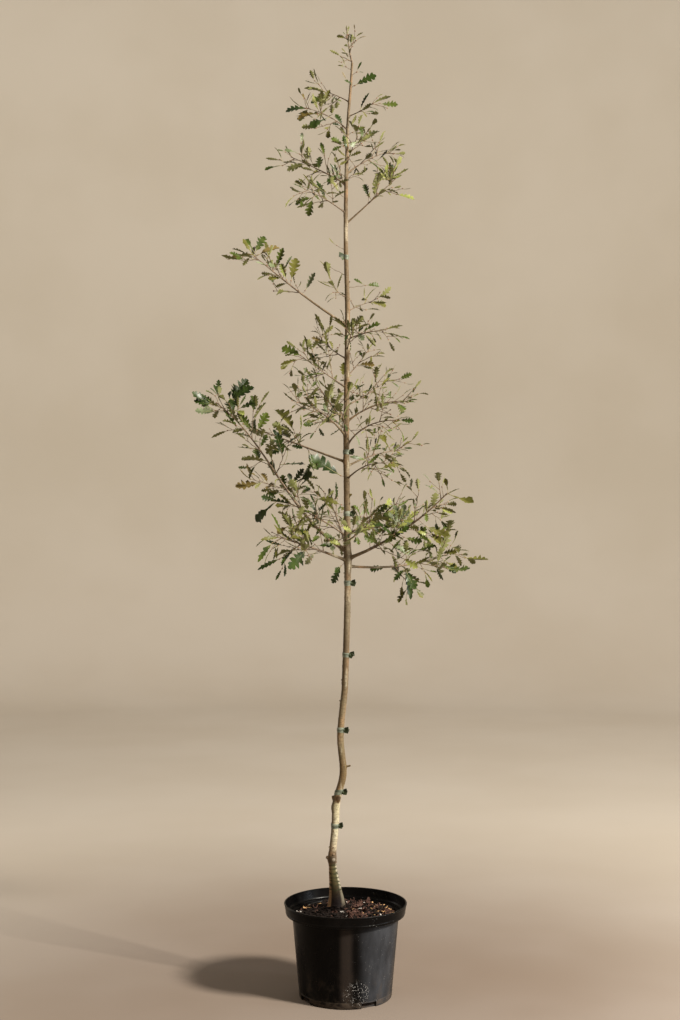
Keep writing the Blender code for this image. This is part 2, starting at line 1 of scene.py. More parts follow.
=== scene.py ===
"""Looks of a young narrow-leaved oak, about 2.2 m tall, growing in a round black nursery pot.

Metres, +Z up, with the origin in the middle of the pot's flat underside. Bearings run anticlockwise
from +X as seen from above, and rises are degrees above the horizontal.

The foliage follows the seeded rule that gave the solids their stems, shoots and leaves, and carries
it on to finer twigs and smaller leaves that keep to the same reach.
"""

import logging
import math
import random
from dataclasses import dataclass, field, replace
from enum import Enum
from itertools import pairwise
from typing import Iterable, NamedTuple, Sequence

import bmesh
import bpy
import numpy as np
from mathutils import Matrix, Vector, noise


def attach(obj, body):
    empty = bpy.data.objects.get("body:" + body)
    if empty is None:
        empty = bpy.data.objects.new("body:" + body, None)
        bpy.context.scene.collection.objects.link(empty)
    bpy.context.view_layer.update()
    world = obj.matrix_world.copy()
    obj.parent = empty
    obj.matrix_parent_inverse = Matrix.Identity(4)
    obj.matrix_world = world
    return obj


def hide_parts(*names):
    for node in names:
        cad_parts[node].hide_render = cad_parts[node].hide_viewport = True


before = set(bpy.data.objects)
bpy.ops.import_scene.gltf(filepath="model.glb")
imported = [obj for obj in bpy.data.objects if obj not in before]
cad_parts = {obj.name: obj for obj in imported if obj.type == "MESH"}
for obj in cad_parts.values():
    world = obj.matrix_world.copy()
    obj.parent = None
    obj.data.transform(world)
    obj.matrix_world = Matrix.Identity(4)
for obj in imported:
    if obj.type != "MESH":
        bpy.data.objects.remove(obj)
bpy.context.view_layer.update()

log = logging.getLogger("oak")

BMesh = bmesh.types.BMesh
Material = bpy.types.Material
Mesh = bpy.types.Mesh
Socket = bpy.types.NodeSocket
Pair = tuple[float, float]
Triple = tuple[float, float, float]
Colour = Triple
Value = Socket | float | Colour
Path = list[Vector]
Faces = list[tuple[int, ...]]

UP = Vector((0.0, 0.0, 1.0))
EVEN = (1.0, 1.0, 1.0)
BODY = "root"


# ---- paths and headings
def bearing_vector(bearing: float, rise: float) -> Vector:
    """Give the unit vector at a bearing and a rise, both in degrees."""
    around, above = math.radians(bearing), math.radians(rise)
    return Vector((math.cos(around) * math.cos(above), math.sin(around) * math.cos(above), math.sin(above)))


def place_on(path: Path, share: float) -> tuple[Vector, Vector]:
    """Find a place on a path.

    Args:
        path: points in even steps.
        share: how far along, from 0 to 1.

    Returns:
        The point, and the path's unit heading there.
    """
    place = min(max(share, 0.0), 1.0) * (len(path) - 1)
    index = min(int(place), len(path) - 2)
    step = path[index + 1] - path[index]
    return path[index] + step * (place - index), step.normalized()


def stretch(path: Path, first: float, last: float, steps: int) -> Path:
    """Take the part of a path between two shares of it, in even steps."""
    return [place_on(path, first + (last - first) * step / steps)[0] for step in range(steps + 1)]


def across_from(heading: Vector) -> tuple[Vector, Vector]:
    """Give the level unit vector across a heading, and the one square to both."""
    side = heading.cross(UP)
    side = side.normalized() if side.length > 1e-3 else Vector((1.0, 0.0, 0.0))
    return side, side.cross(heading)


def split_from(axis: Vector, turn: float, split: float, lift: float) -> Vector:
    """Turn a heading away from an axis.

    Args:
        axis: the heading to leave.
        turn: degrees round the axis.
        split: degrees away from the axis.
        lift: how much of an upward unit to add.

    Returns:
        The new unit heading.
    """
    side, top = across_from(axis)
    turn, split = math.radians(turn), math.radians(split)
    away = top * math.cos(turn) + side * math.sin(turn)
    return (axis * math.cos(split) + away * math.sin(split) + UP * lift).normalized()


def ease(table: Sequence[tuple[float, ...]], at: float) -> np.ndarray:
    """Read a smooth curve through the rows of a table.

    Args:
        table: rows of (place, values...), in order of place.
        at: the place to read.

    Returns:
        The values at that place.
    """
    places = [row[0] for row in table]
    index = max(0, min(len(table) - 2, int(np.searchsorted(places, at, side="right")) - 1))
    share = (at - places[index]) / (places[index + 1] - places[index])
    share = min(max(share, 0.0), 1.0)
    before, low, high, after = (
        np.array(table[max(0, min(len(table) - 1, index + step))][1:]) for step in (-1, 0, 1, 2))
    bend = (-before + high) * share
    bend = bend + (2 * before - 5 * low + 4 * high - after) * share ** 2
    bend = bend + (-before + 3 * low - 3 * high + after) * share ** 3
    return low + bend / 2


def smoothed(points: Path, parts: int) -> Path:
    """Round off a path with a curve through all its points.

    Args:
        points: the path's points.
        parts: how many steps each stretch is cut into.

    Returns:
        The finer path.
    """
    table = [(float(index), *point) for index, point in enumerate(points)]
    count = (len(points) - 1) * parts
    return [Vector(ease(table, step / parts)) for step in range(count + 1)]


def nearest_on(path: Path, spot: Vector) -> Vector:
    """Find the point of a path's stretches that is nearest to a spot.

    Args:
        path: the path.
        spot: the spot.

    Returns:
        The nearest point.
    """
    points = []
    for start, end in pairwise(path):
        line = end - start
        points.append(start + line * min(max((spot - start).dot(line) / line.length_squared, 0), 1))
    return min(points, key=lambda point: (point - spot).length)


# ---- building meshes
def add_object(name: str, data: bpy.types.ID) -> bpy.types.Object:
    """Put a mesh, curve, light or camera into the scene as a new object."""
    item = bpy.data.objects.new(name, data)
    bpy.context.scene.collection.objects.link(item)
    return item


def new_piece(name: str, mesh: Mesh, nodes: Iterable[str]) -> bpy.types.Object:
    """Put a mesh into the scene as a piece of the plant or its pot.

    Args:
        name: the piece's name.
        mesh: its finished mesh, in the frame of the whole.
        nodes: the solids that it stands for.

    Returns:
        The new object.
    """
    piece = add_object(name, mesh)
    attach(piece, BODY)
    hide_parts(*nodes)
    mesh.calc_loop_triangles()
    log.info("%s: %d triangles", name, len(mesh.loop_triangles))
    return piece


def dress(mesh: Mesh, finishes: Iterable[Material], crease: float) -> Mesh:
    """Give a mesh its materials and its smooth shading.

    Args:
        mesh: the mesh.
        finishes: one material for each slot.
        crease: degrees past which an edge stays sharp.

    Returns:
        The same mesh.
    """
    for finish in finishes:
        mesh.materials.append(finish)
    mesh.shade_smooth()
    mesh.set_sharp_from_angle(angle=math.radians(crease))
    return mesh


def to_mesh(name: str, bm: BMesh, finishes: Iterable[Material], crease: float = 40.0) -> Mesh:
    """Turn a bmesh into a smooth-shaded mesh.

    Args:
        name: the mesh's name.
        bm: the shape, which is used up.
        finishes: one material for each slot.
        crease: degrees past which an edge stays sharp.

    Returns:
        The mesh.
    """
    mesh = bpy.data.meshes.new(name)
    bm.to_mesh(mesh)
    bm.free()
    return dress(mesh, finishes, crease)


def faces_at(verts: Iterable[bmesh.types.BMVert]) -> list[bmesh.types.BMFace]:
    """List the faces that meet at some points, each once."""
    return list({face for vert in verts if vert.is_valid for face in vert.link_faces})


def lathe(profile: Iterable[Pair], sides: int) -> BMesh:
    """Spin a shape round Z.

    Args:
        profile: (radius, height) points, the first of them on the axis.
        sides: how many steps go round.

    Returns:
        The shape.
    """
    bm = bmesh.new()
    points = [bm.verts.new((radius, 0.0, height)) for radius, height in profile]
    edges = [bm.edges.new(pair) for pair in pairwise(points)]
    bmesh.ops.spin(bm, geom=points + edges, axis=UP, cent=(0, 0, 0), angle=math.tau, steps=sides,
                   use_merge=True)
    bmesh.ops.remove_doubles(bm, verts=bm.verts, dist=1e-5)
    bmesh.ops.recalc_face_normals(bm, faces=bm.faces)
    return bm


class Ring(NamedTuple):
    """One ring of a rolled skin: its middle, the two directions across it, and its radius."""

    centre: Vector
    right: Vector
    front: Vector
    radius: float


def rings_along(path: Path, radii: Iterable[float]) -> list[Ring]:
    """Set rings square to a path, with no twist from one to the next.

    Args:
        path: the middles of the rings.
        radii: their radii.

    Returns:
        The rings.
    """
    heading = (path[1] - path[0]).normalized()
    turn = UP.rotation_difference(heading)
    rings = []
    for index, (point, radius) in enumerate(zip(path, radii)):
        after = (path[min(index + 1, len(path) - 1)] - path[max(index - 1, 0)]).normalized()
        turn = heading.rotation_difference(after) @ turn
        heading = after
        rings.append(Ring(point, turn @ Vector((1, 0, 0)), turn @ Vector((0, 1, 0)), radius))
    return rings


def roll_skin(bm: BMesh, rings: Sequence[Ring], sides: int, relief: float,
              grain: float) -> list[bmesh.types.BMVert]:
    """Roll a grid into a closed tube, with bark relief on it.

    Args:
        bm: where the tube goes.
        rings: the tube's rings, from one end to the other.
        sides: how many faces go round.
        relief: how far the bark stands up and sinks in.
        grain: how close together the marks in it are.

    Returns:
        The tube's points.
    """
    last = len(rings) - 1
    made = bmesh.ops.create_grid(bm, x_segments=sides, y_segments=last, size=1.0)["verts"]
    seam, ends = [], []
    for vert in made:
        column, row = round((vert.co.x + 1) / 2 * sides), round((vert.co.y + 1) / 2 * last)
        ring, angle = rings[row], math.tau * column / sides
        out = ring.right * math.cos(angle) + ring.front * math.sin(angle)
        spot = ring.centre + out * ring.radius
        marks = noise.noise(Vector((spot.x * grain, spot.y * grain, spot.z * grain * 2.2)))
        vert.co = spot + out * relief * marks
        if column in (0, sides):
            seam.append(vert)
        if row in (0, last):
            ends.append(vert)
    bmesh.ops.remove_doubles(bm, verts=seam, dist=1e-6)
    made = [vert for vert in made if vert.is_valid]
    rims = {edge for vert in ends if vert.is_valid for edge in vert.link_edges if edge.is_boundary}
    bmesh.ops.holes_fill(bm, edges=list(rims), sides=0)
    bmesh.ops.recalc_face_normals(bm, faces=faces_at(made))
    return made


@dataclass
class TubeBundle:
    """Many thin round tubes that end up as one mesh."""

    roundness: int
    tubes: list[tuple[Path, list[float]]] = field(default_factory=list)

    def add(self, path: Path, radii: Iterable[float]) -> None:
        """Note one more tube."""
        self.tubes.append((path, list(radii)))

    def mesh(self, name: str, finish: Material) -> Mesh:
        """Make every tube, through a curve with a round section.

        Args:
            name: the mesh's name.
            finish: its material.

        Returns:
            The joined mesh.
        """
        curve = bpy.data.curves.new(name, "CURVE")
        curve.dimensions, curve.bevel_depth, curve.use_fill_caps = "3D", 1.0, True
        curve.bevel_resolution = self.roundness
        for path, radii in self.tubes:
            spline = curve.splines.new("POLY")
            spline.points.add(len(path) - 1)
            spline.points.foreach_set("co", [value for point in path for value in (*point, 1.0)])
            spline.points.foreach_set("radius", radii)
        carrier = add_object(name, curve)
        mesh = bpy.data.meshes.new_from_object(carrier.evaluated_get(bpy.context.evaluated_depsgraph_get()))
        bpy.data.objects.remove(carrier)
        bpy.data.curves.remove(curve)
        bm = bmesh.new()
        bm.from_mesh(mesh)
        bmesh.ops.remove_doubles(bm, verts=bm.verts, dist=1e-7)
        bmesh.ops.recalc_face_normals(bm, faces=bm.faces)
        bpy.data.meshes.remove(mesh)
        return to_mesh(name, bm, [finish], crease=60.0)


@dataclass(frozen=True)
class Shape:
    """Small mesh that is laid many times: points, faces and the material slot of each face."""

    points: np.ndarray
    faces: Faces
    slots: list[int]

    @classmethod
    def taken_from(cls, bm: BMesh) -> "Shape":
        """Take the shape out of a bmesh, which is used up."""
        bm.verts.index_update()
        points = np.array([tuple(vert.co) for vert in bm.verts])
        faces = [tuple(vert.index for vert in face.verts) for face in bm.faces]
        slots = [face.material_index for face in bm.faces]
        bm.free()
        return cls(points, faces, slots)


@dataclass
class Heap:
    """Many copies of small shapes, joined into one mesh from arrays."""

    points: list[np.ndarray] = field(default_factory=list)
    faces: Faces = field(default_factory=list)
    slots: list[int] = field(default_factory=list)
    count: int = 0

    def add(self, shape: Shape, points: np.ndarray, slot: int = 0) -> None:
        """Add one copy.

        Args:
            shape: what to copy.
            points: its points, put in place.
            slot: what to add to its material slots.
        """
        self.points.append(points)
        self.faces.extend(tuple(index + self.count for index in face) for face in shape.faces)
        self.slots.extend(own + slot for own in shape.slots)
        self.count += len(points)

    def mesh(self, name: str, finishes: Iterable[Material], crease: float = 40.0) -> Mesh:
        """Join all the copies.

        Args:
            name: the mesh's name.
            finishes: one material for each slot.
            crease: degrees past which an edge stays sharp.

        Returns:
            The joined mesh.
        """
        mesh = bpy.data.meshes.new(name)
        mesh.from_pydata(np.concatenate(self.points).tolist(), [], self.faces)
        mesh.polygons.foreach_set("material_index", self.slots)
        dress(mesh, finishes, crease).update()
        return mesh


# ---- finishes
class Recipe:
    """Principled material whose nodes are added one by one."""

    def __init__(self, name: str) -> None:
        """Start a material with its shader and the object's own coordinates."""
        self.material = bpy.data.materials.new(name)
        self.material.use_nodes = True
        self.tree = self.material.node_tree
        self.shader = self.tree.nodes["Principled BSDF"]
        self.place = self.node("TexCoord").outputs["Object"]

    def plug(self, entry: Socket, value: Value) -> None:
        """Link a socket to an entry, or set a plain value on it.

        Args:
            entry: the input to feed.
            value: another node's output, a number or a colour.
        """
        if isinstance(value, Socket):
            self.tree.links.new(value, entry)
        elif isinstance(value, tuple):
            entry.default_value = (*value, 1.0) if len(entry.default_value) == 4 else value
        else:
            entry.default_value = value

    def feed(self, node: bpy.types.Node, **values: Value) -> None:
        """Feed a node's inputs, named with underscores for spaces."""
        for name, value in values.items():
            self.plug(node.inputs[name.replace("_", " ")], value)

    def node(self, kind: str, **values: Value) -> bpy.types.Node:
        """Add a node of a kind, and feed its inputs.

        Args:
            kind: its type, without the usual start.
            values: what goes into each input.

        Returns:
            The node.
        """
        node = self.tree.nodes.new(f"ShaderNode{kind}")
        self.feed(node, **values)
        return node

    def set(self, **values: Value) -> None:
        """Feed the shader's inputs."""
        self.feed(self.shader, **values)

    def scaled(self, stretching: Triple) -> Socket:
        """Give the object's coordinates, stretched along each axis."""
        return self.node("Mapping", Vector=self.place, Scale=stretching).outputs["Vector"]

    def noise(self, scale: float, detail: float = 3.0, stretching: Triple = EVEN) -> Socket:
        """Add a cloudy pattern, with so many finer layers, and give its strength from 0 to 1."""
        node = self.node("TexNoise", Vector=self.scaled(stretching), Scale=scale, Detail=detail)
        return node.outputs["Fac"]

    def cells(self, scale: float, stretching: Triple = EVEN) -> Socket:
        """Add a pattern of cells, and give the distance from their middles."""
        return self.node("TexVoronoi", Vector=self.scaled(stretching), Scale=scale).outputs["Distance"]

    def veins(self, scale: float, thin: float) -> Socket:
        """Add a net of fine lines.

        Args:
            scale: how close the lines are.
            thin: how thin they are.

        Returns:
            1 on a line and 0 between them.
        """
        node = self.node("TexVoronoi", Vector=self.place, Scale=scale)
        node.feature = "DISTANCE_TO_EDGE"
        return self.span(node.outputs["Distance"], thin, thin / 3)

    def bands(self, spacing: float, distortion: float) -> Socket:
        """Add level bands.

        Args:
            spacing: metres from one to the next.
            distortion: how wavy they are.

        Returns:
            Their strength from 0 to 1.
        """
        node = self.node("TexWave", Vector=self.place, Scale=math.tau / 20 / spacing,
                         Distortion=distortion, Detail=3.0, Detail_Scale=1.6)
        node.bands_direction = "Z"
        return node.outputs["Fac"]

    def window(self, value: Socket, low: float, high: float, fade: float) -> Socket:
        """Give 1 between two values and 0 outside them, with a soft edge."""
        return self.times(self.span(value, low - fade, low), self.span(value, high + fade, high))

    def along(self, axis: str) -> Socket:
        """Give one of the object's coordinates."""
        return self.node("SeparateXYZ", Vector=self.place).outputs[axis]

    def distance(self, spot: Triple) -> Socket:
        """Measure how far away a spot is, in metres."""
        node = self.node("VectorMath")
        node.operation = "DISTANCE"
        self.plug(node.inputs[0], self.place)
        self.plug(node.inputs[1], spot)
        return node.outputs["Value"]

    def painted(self, name: str) -> Socket:
        """Read a value that is painted on the mesh's points."""
        node = self.node("Attribute")
        node.attribute_name = name
        return node.outputs["Fac"]

    def span(self, value: Socket, start: float, end: float, low: float = 0.0, high: float = 1.0) -> Socket:
        """Ease a value from one range into another.

        Args:
            value: what to read.
            start: where the result is low.
            end: where the result is high.
            low: the result at the start and before it.
            high: the result at the end and after it.

        Returns:
            The eased value.
        """
        node = self.node("MapRange", Value=value, From_Min=start, From_Max=end, To_Min=low, To_Max=high)
        node.interpolation_type = "SMOOTHSTEP"
        return node.outputs["Result"]

    def ramp(self, value: Socket, *stops: tuple[float, Colour]) -> Socket:
        """Turn a value into a colour.

        Args:
            value: what to read, from 0 to 1.
            stops: (value, colour) pairs in order.

        Returns:
            The colour.
        """
        node = self.node("ValToRGB", Fac=value)
        elements = node.color_ramp.elements
        while len(elements) < len(stops):
            elements.new(0.5)
        for element, (at, colour) in zip(elements, stops):
            element.position, element.color = at, (*colour, 1.0)
        return node.outputs["Color"]

    def mix(self, share: Socket, first: Value, second: Value) -> Socket:
        """Blend two colours.

        Args:
            share: how much of the second shows.
            first: the colour underneath.
            second: the colour on top.

        Returns:
            The colour.
        """
        node = self.node("Mix")
        node.data_type = "RGBA"
        for index, value in ((0, share), (6, first), (7, second)):
            self.plug(node.inputs[index], value)
        return node.outputs[2]

    def maths(self, operation: str, values: Sequence[Value]) -> Socket:
        """Work out one number from two or more, from left to right.

        Args:
            operation: what is done with each pair.
            values: the numbers.

        Returns:
            The number.
        """
        result, *others = values
        for other in others:
            node = self.node("Math")
            node.operation = operation
            self.plug(node.inputs[0], result)
            self.plug(node.inputs[1], other)
            result = node.outputs[0]
        return result

    def times(self, *values: Value) -> Socket:
        """Multiply values."""
        return self.maths("MULTIPLY", values)

    def highest(self, *values: Value) -> Socket:
        """Give the highest of some values."""
        return self.maths("MAXIMUM", values)

    def bump(self, height: Socket, strength: float, distance: float) -> None:
        """Let a share of a pattern raise the surface, its highest parts by so many metres."""
        node = self.node("Bump", Strength=strength, Distance=distance, Height=height)
        self.set(Normal=node.outputs["Normal"])


@dataclass(frozen=True)
class PotPlastic:
    """Satin black moulded plastic, dusty low down, with pale water marks on the front, a painted brownish
    reflection down the middle of its front and a painted bluish highlight on its front right.
    """

    black: Colour = (0.0016, 0.0013, 0.0012)
    worn: Colour = (0.0036, 0.003, 0.0028)
    # painted brownish reflection of the floor, down the middle of the front
    brown: Colour = (0.02, 0.0152, 0.0128)
    # painted bluish highlight on the front right
    dust_and_sheen_film: Colour = (0.037, 0.039, 0.044)
    dust: Colour = (0.07, 0.052, 0.038)
    chalk: Colour = (0.56, 0.55, 0.53)
    marks: Triple = (0.024, -0.104, 0.034)

    def material(self) -> Material:
        """Mix plastic, dust and water marks, with a painted reflection and a painted highlight.

        Returns:
            The material.
        """
        recipe = Recipe("black_plastic")
        across, height = recipe.along("X"), recipe.along("Z")
        wear = recipe.span(recipe.noise(30.0, 5.0, (1.0, 1.0, 0.6)), 0.46, 0.74)
        plastic = recipe.mix(wear, self.black, self.worn)
        below = recipe.span(height, 0.19, 0.176)
        # painted brownish reflection of the floor down the middle of the front
        front = recipe.times(recipe.window(across, -0.004, 0.006, 0.014), below)
        plastic = recipe.mix(front, plastic, self.brown)
        # painted bluish highlight on the front right, broken up by a grain
        sheen_grain = recipe.span(recipe.noise(34.0, 5.0, (1.2, 1.2, 0.4)), 0.28, 0.74, 0.45, 1.0)
        side = recipe.times(recipe.window(across, 0.058, 0.12, 0.036), below,
                            recipe.span(recipe.along("Y"), -0.01, -0.055), sheen_grain)
        plastic = recipe.mix(side, plastic, self.dust_and_sheen_film)
        foot = recipe.times(recipe.span(height, 0.0165, 0.0135, 0.0, 0.6),
                            recipe.span(recipe.noise(60.0, 4.0, (1.0, 1.0, 2.0)), 0.3, 0.66))
        dust_and_sheen_film = recipe.times(recipe.span(height, 0.1, 0.01, 0.0, 0.3),
                            recipe.span(recipe.noise(60.0, 5.0, (1.0, 1.0, 0.7)), 0.48, 0.7))
        dusty = recipe.highest(foot, dust_and_sheen_film)
        plastic = recipe.mix(dusty, plastic, self.dust)
        net = recipe.times(recipe.veins(110.0, 0.02),
                           recipe.span(recipe.noise(120.0, 4.0), 0.46, 0.6, 0.0, 0.66))
        crumbs = recipe.span(recipe.noise(330.0), 0.665, 0.7)
        chalky = recipe.times(recipe.highest(net, crumbs),
                              recipe.span(recipe.distance(self.marks), 0.035, 0.022))
        specks = recipe.times(recipe.span(recipe.cells(210.0), 0.15, 0.07),
                              recipe.span(across, 0.004, 0.05),
                              recipe.span(recipe.noise(38.0, 2.0), 0.5, 0.6, 0.0, 0.42))
        colour = recipe.mix(recipe.highest(chalky, specks), plastic, self.chalk)
        rough = recipe.span(recipe.noise(50.0, 4.0, (1.0, 1.0, 0.6)), 0.35, 0.72, 0.27, 0.44)
        recipe.set(Base_Color=colour, Roughness=recipe.highest(rough, recipe.times(dusty, 1.2)),
                   Specular_IOR_Level=0.09)
        recipe.bump(recipe.noise(180.0), 0.2, 0.0004)
        return recipe.material


@dataclass(frozen=True)
class BarkSkin:
    """Smooth young bark: mossy bands over the flare, cream above it, then olive and brown, with painted
    highlights on the flare's edges and painted shade down the trunk's left side.
    """

    moss: Colour = (0.022, 0.026, 0.01)
    shadow: Colour = (0.06, 0.042, 0.026)
    # painted shade colour for the trunk's left side
    brown: Colour = (0.085, 0.056, 0.032)
    # warm patches, and the painted highlight on the flare's left edge
    warm: Colour = (0.33, 0.19, 0.095)
    # pale lichen, and the painted highlight on the flare's right edge
    pale: Colour = (0.56, 0.5, 0.37)
    # middle, radius and colour
    scars: tuple[tuple[Triple, float, Colour], ...] = (
        ((-0.0155, -0.008, 0.4485), 0.0105, (0.022, 0.009, 0.003)),
        ((-0.0155, -0.008, 0.442), 0.006, (0.06, 0.028, 0.008)),
        ((-0.03, -0.0065, 0.31), 0.013, (0.062, 0.046, 0.028)),
        ((-0.0262, -0.0065, 0.3095), 0.0056, (0.33, 0.28, 0.22)),
        ((-0.0262, -0.0065, 0.323), 0.004, (0.05, 0.032, 0.018)),
        ((-0.023, -0.006, 0.364), 0.0042, (0.07, 0.046, 0.024)),
    )
    # height and colour
    climb: tuple[tuple[float, Colour], ...] = (
        (0.19, (0.003, 0.001, 0.001)), (0.214, (0.006, 0.003, 0.001)), (0.24, (0.026, 0.018, 0.006)),
        (0.275, (0.074, 0.066, 0.024)), (0.295, (0.09, 0.076, 0.034)), (0.301, (0.06, 0.042, 0.022)),
        (0.312, (0.115, 0.084, 0.054)), (0.325, (0.086, 0.062, 0.036)), (0.331, (0.36, 0.31, 0.215)),
        (0.37, (0.44, 0.4, 0.28)), (0.438, (0.4, 0.35, 0.22)), (0.446, (0.12, 0.07, 0.03)),
        (0.456, (0.17, 0.122, 0.058)), (0.5, (0.13, 0.088, 0.04)), (0.57, (0.14, 0.108, 0.058)),
        (0.66, (0.145, 0.114, 0.066)), (0.72, (0.106, 0.076, 0.042)), (0.8, (0.112, 0.082, 0.048)),
        (0.86, (0.16, 0.128, 0.08)), (0.95, (0.16, 0.128, 0.08)), (1.02, (0.142, 0.104, 0.06)),
        (1.35, (0.135, 0.097, 0.054)), (2.1, (0.155, 0.112, 0.068)),
    )

    def flare_light(self, recipe: Recipe, height: Socket, side: Socket) -> tuple[Socket, Socket]:
        """Find where the flare's two edges catch the light.

        Args:
            recipe: the material.
            height: metres above the floor.
            side: from -1 on the left to 1 on the right.

        Returns:
            How lit the left edge is, and the right edge.
        """
        left = recipe.times(recipe.span(side, -0.5, -0.74, 0.0, 0.85),
                            recipe.window(height, 0.19, 0.285, 0.022))
        high = recipe.times(recipe.span(side, 0.56, 0.88, 0.0, 0.56),
                            recipe.window(height, 0.25, 0.3, 0.016))
        low = recipe.times(recipe.span(side, 0.6, 0.9, 0.0, 0.2),
                           recipe.window(height, 0.214, 0.256, 0.016))
        return left, recipe.highest(high, low)

    def material(self) -> Material:
        """Lay the bark's colours over each other.

        Returns:
            The material.
        """
        recipe = Recipe("bark")
        height, side = recipe.along("Z"), recipe.painted("side")
        foot, top = self.climb[0][0], self.climb[-1][0]
        rise = recipe.span(height, foot, top)
        rise.node.interpolation_type = "LINEAR"
        skin = recipe.ramp(rise, *(((at - foot) / (top - foot), colour) for at, colour in self.climb))
        left, right = self.flare_light(recipe, height, side)
        skin = recipe.mix(left, recipe.mix(right, skin, self.pale), self.warm)
        bands = recipe.times(recipe.span(recipe.bands(0.0094, 6.5), 0.5, 0.86, 0.0, 0.9),
                             recipe.window(height, 0.24, 0.298, 0.01))
        skin = recipe.mix(bands, skin, self.moss)
        patches = recipe.times(
            recipe.span(recipe.noise(26.0, 4.0, (1.6, 1.6, 0.5)), 0.48, 0.72, 0.0, 0.5),
            recipe.span(height, 0.23, 0.33, 0.1, 1.0))
        skin = recipe.mix(patches, skin, self.warm)
        above = recipe.span(height, 0.3, 0.335)
        lichen = recipe.span(recipe.noise(48.0, 5.0, (1.8, 1.8, 0.35)), 0.52, 0.7, 0.0, 0.45)
        skin = recipe.mix(recipe.times(lichen, above), skin, self.pale)
        shaded = recipe.times(recipe.span(side, -0.42, -0.8, 0.0, 0.8), above,
                              recipe.span(height, 0.44, 0.5, 1.0, 0.45))
        skin = recipe.mix(shaded, skin, self.brown)
        for spot, reach, colour in self.scars:
            scar = recipe.span(recipe.distance(spot), reach, 0.45 * reach, 0.0, 0.92)
            skin = recipe.mix(scar, skin, colour)
        pores = recipe.span(recipe.cells(150.0, (0.8, 0.8, 2.6)), 0.2, 0.08, 0.0, 0.85)
        skin = recipe.mix(pores, skin, self.shadow)
        fine = recipe.noise(170.0, 5.0, (1.0, 1.0, 3.0))
        skin = recipe.mix(recipe.span(fine, 0.42, 0.7, 0.0, 0.55), skin, self.shadow)
        # darker towards the foot, except on the flare's painted lit edges
        damp = recipe.times(recipe.span(height, 0.256, 0.208, 0.0, 0.92),
                            recipe.window(side, -0.44, 0.52, 0.2))
        recipe.set(Base_Color=recipe.mix(damp, skin, self.climb[0][1]),
                   Roughness=recipe.span(fine, 0.3, 0.7, 0.55, 0.8), Specular_IOR_Level=0.12)
        recipe.bump(fine, 0.6, 0.0007)
        return recipe.material


class Grain(NamedTuple):
    """One noise pattern: its scale, its detail and its stretch along each axis."""

    scale: float
    detail: float = 3.0
    stretching: Triple = EVEN


@dataclass(frozen=True)
class TwoTone:
    """Finish of two tones in one pattern, raised by that pattern or by one of its own.

    It turns from dark to light between two strengths of the pattern. The relief is how much of the
    pattern shows, and its height.
    """

    name: str
    dark: Colour
    light: Colour
    roughness: float = 0.6
    shine: float = 0.5
    grain: Grain = Grain(160.0, 4.0, (1.0, 1.0, 1.4))
    turning: Pair = (0.36, 0.64)
    relief: Pair = (0.5, 0.0003)
    relief_grain: Grain | None = None

    def material(self) -> Material:
        """Mix the two tones, and raise the surface.

        Returns:
            The material.
        """
        recipe = Recipe(self.name)
        grain = recipe.noise(*self.grain)
        raised = recipe.noise(*self.relief_grain) if self.relief_grain else grain
        colour = recipe.ramp(grain, *zip(self.turning, (self.dark, self.light)))
        recipe.set(Base_Color=colour, Roughness=self.roughness, Specular_IOR_Level=self.shine)
        recipe.bump(raised, *self.relief)
        return recipe.material


@dataclass(frozen=True)
class Soil(TwoTone):
    """Dark damp compost of fine bark crumbs."""

    name: str = "compost"
    dark: Colour = (0.0015, 0.0008, 0.0005)
    light: Colour = (0.011, 0.0058, 0.0038)
    roughness: float = 0.92
    shine: float = 0.1
    grain: Grain = Grain(190.0, 6.0)
    turning: Pair = (0.36, 0.62)
    relief: Pair = (0.9, 0.0015)


@dataclass(frozen=True)
class ChipWood(TwoTone):
    """Split bark chips of one colour, with fibres."""

    roughness: float = 0.75
    shine: float = 0.16
    grain: Grain = Grain(260.0, 5.0, (1.0, 2.2, 1.0))
    turning: Pair = (0.34, 0.66)
    relief: Pair = (0.6, 0.0006)


@dataclass(frozen=True)
class TapeSkin(TwoTone):
    """Soft stretched green tape, milky where it is pulled thin."""

    roughness: float = 0.55
    shine: float = 0.25
    grain: Grain = Grain(110.0, 4.0, (0.7, 0.7, 2.4))
    turning: Pair = (0.38, 0.66)
    relief: Pair = (0.6, 0.0004)
    relief_grain: Grain = Grain(190.0, 3.0, (0.4, 0.4, 3.0))


@dataclass(frozen=True)
class LeafSkin(TwoTone):
    """One side of a leaf: two tones of one tint, with a leathery surface."""

    shine: float = 0.26
    grain: Grain = Grain(34.0)
    turning: Pair = (0.34, 0.66)
    relief: Pair = (0.35, 0.0003)
    relief_grain: Grain = Grain(520.0, 2.0)


# ---- the growth rule
@dataclass(frozen=True)
class Limb:
    """One limb: its foot's height, bearing, rises, lengths, radius, foliage and turn."""

    name: str
    foot: float
    bearing: float
    rises: Triple
    length: float
    bare: float
    radius: float
    shoots: int
    shoot_length: float
    leaf_length: float
    turn: float = 0.0


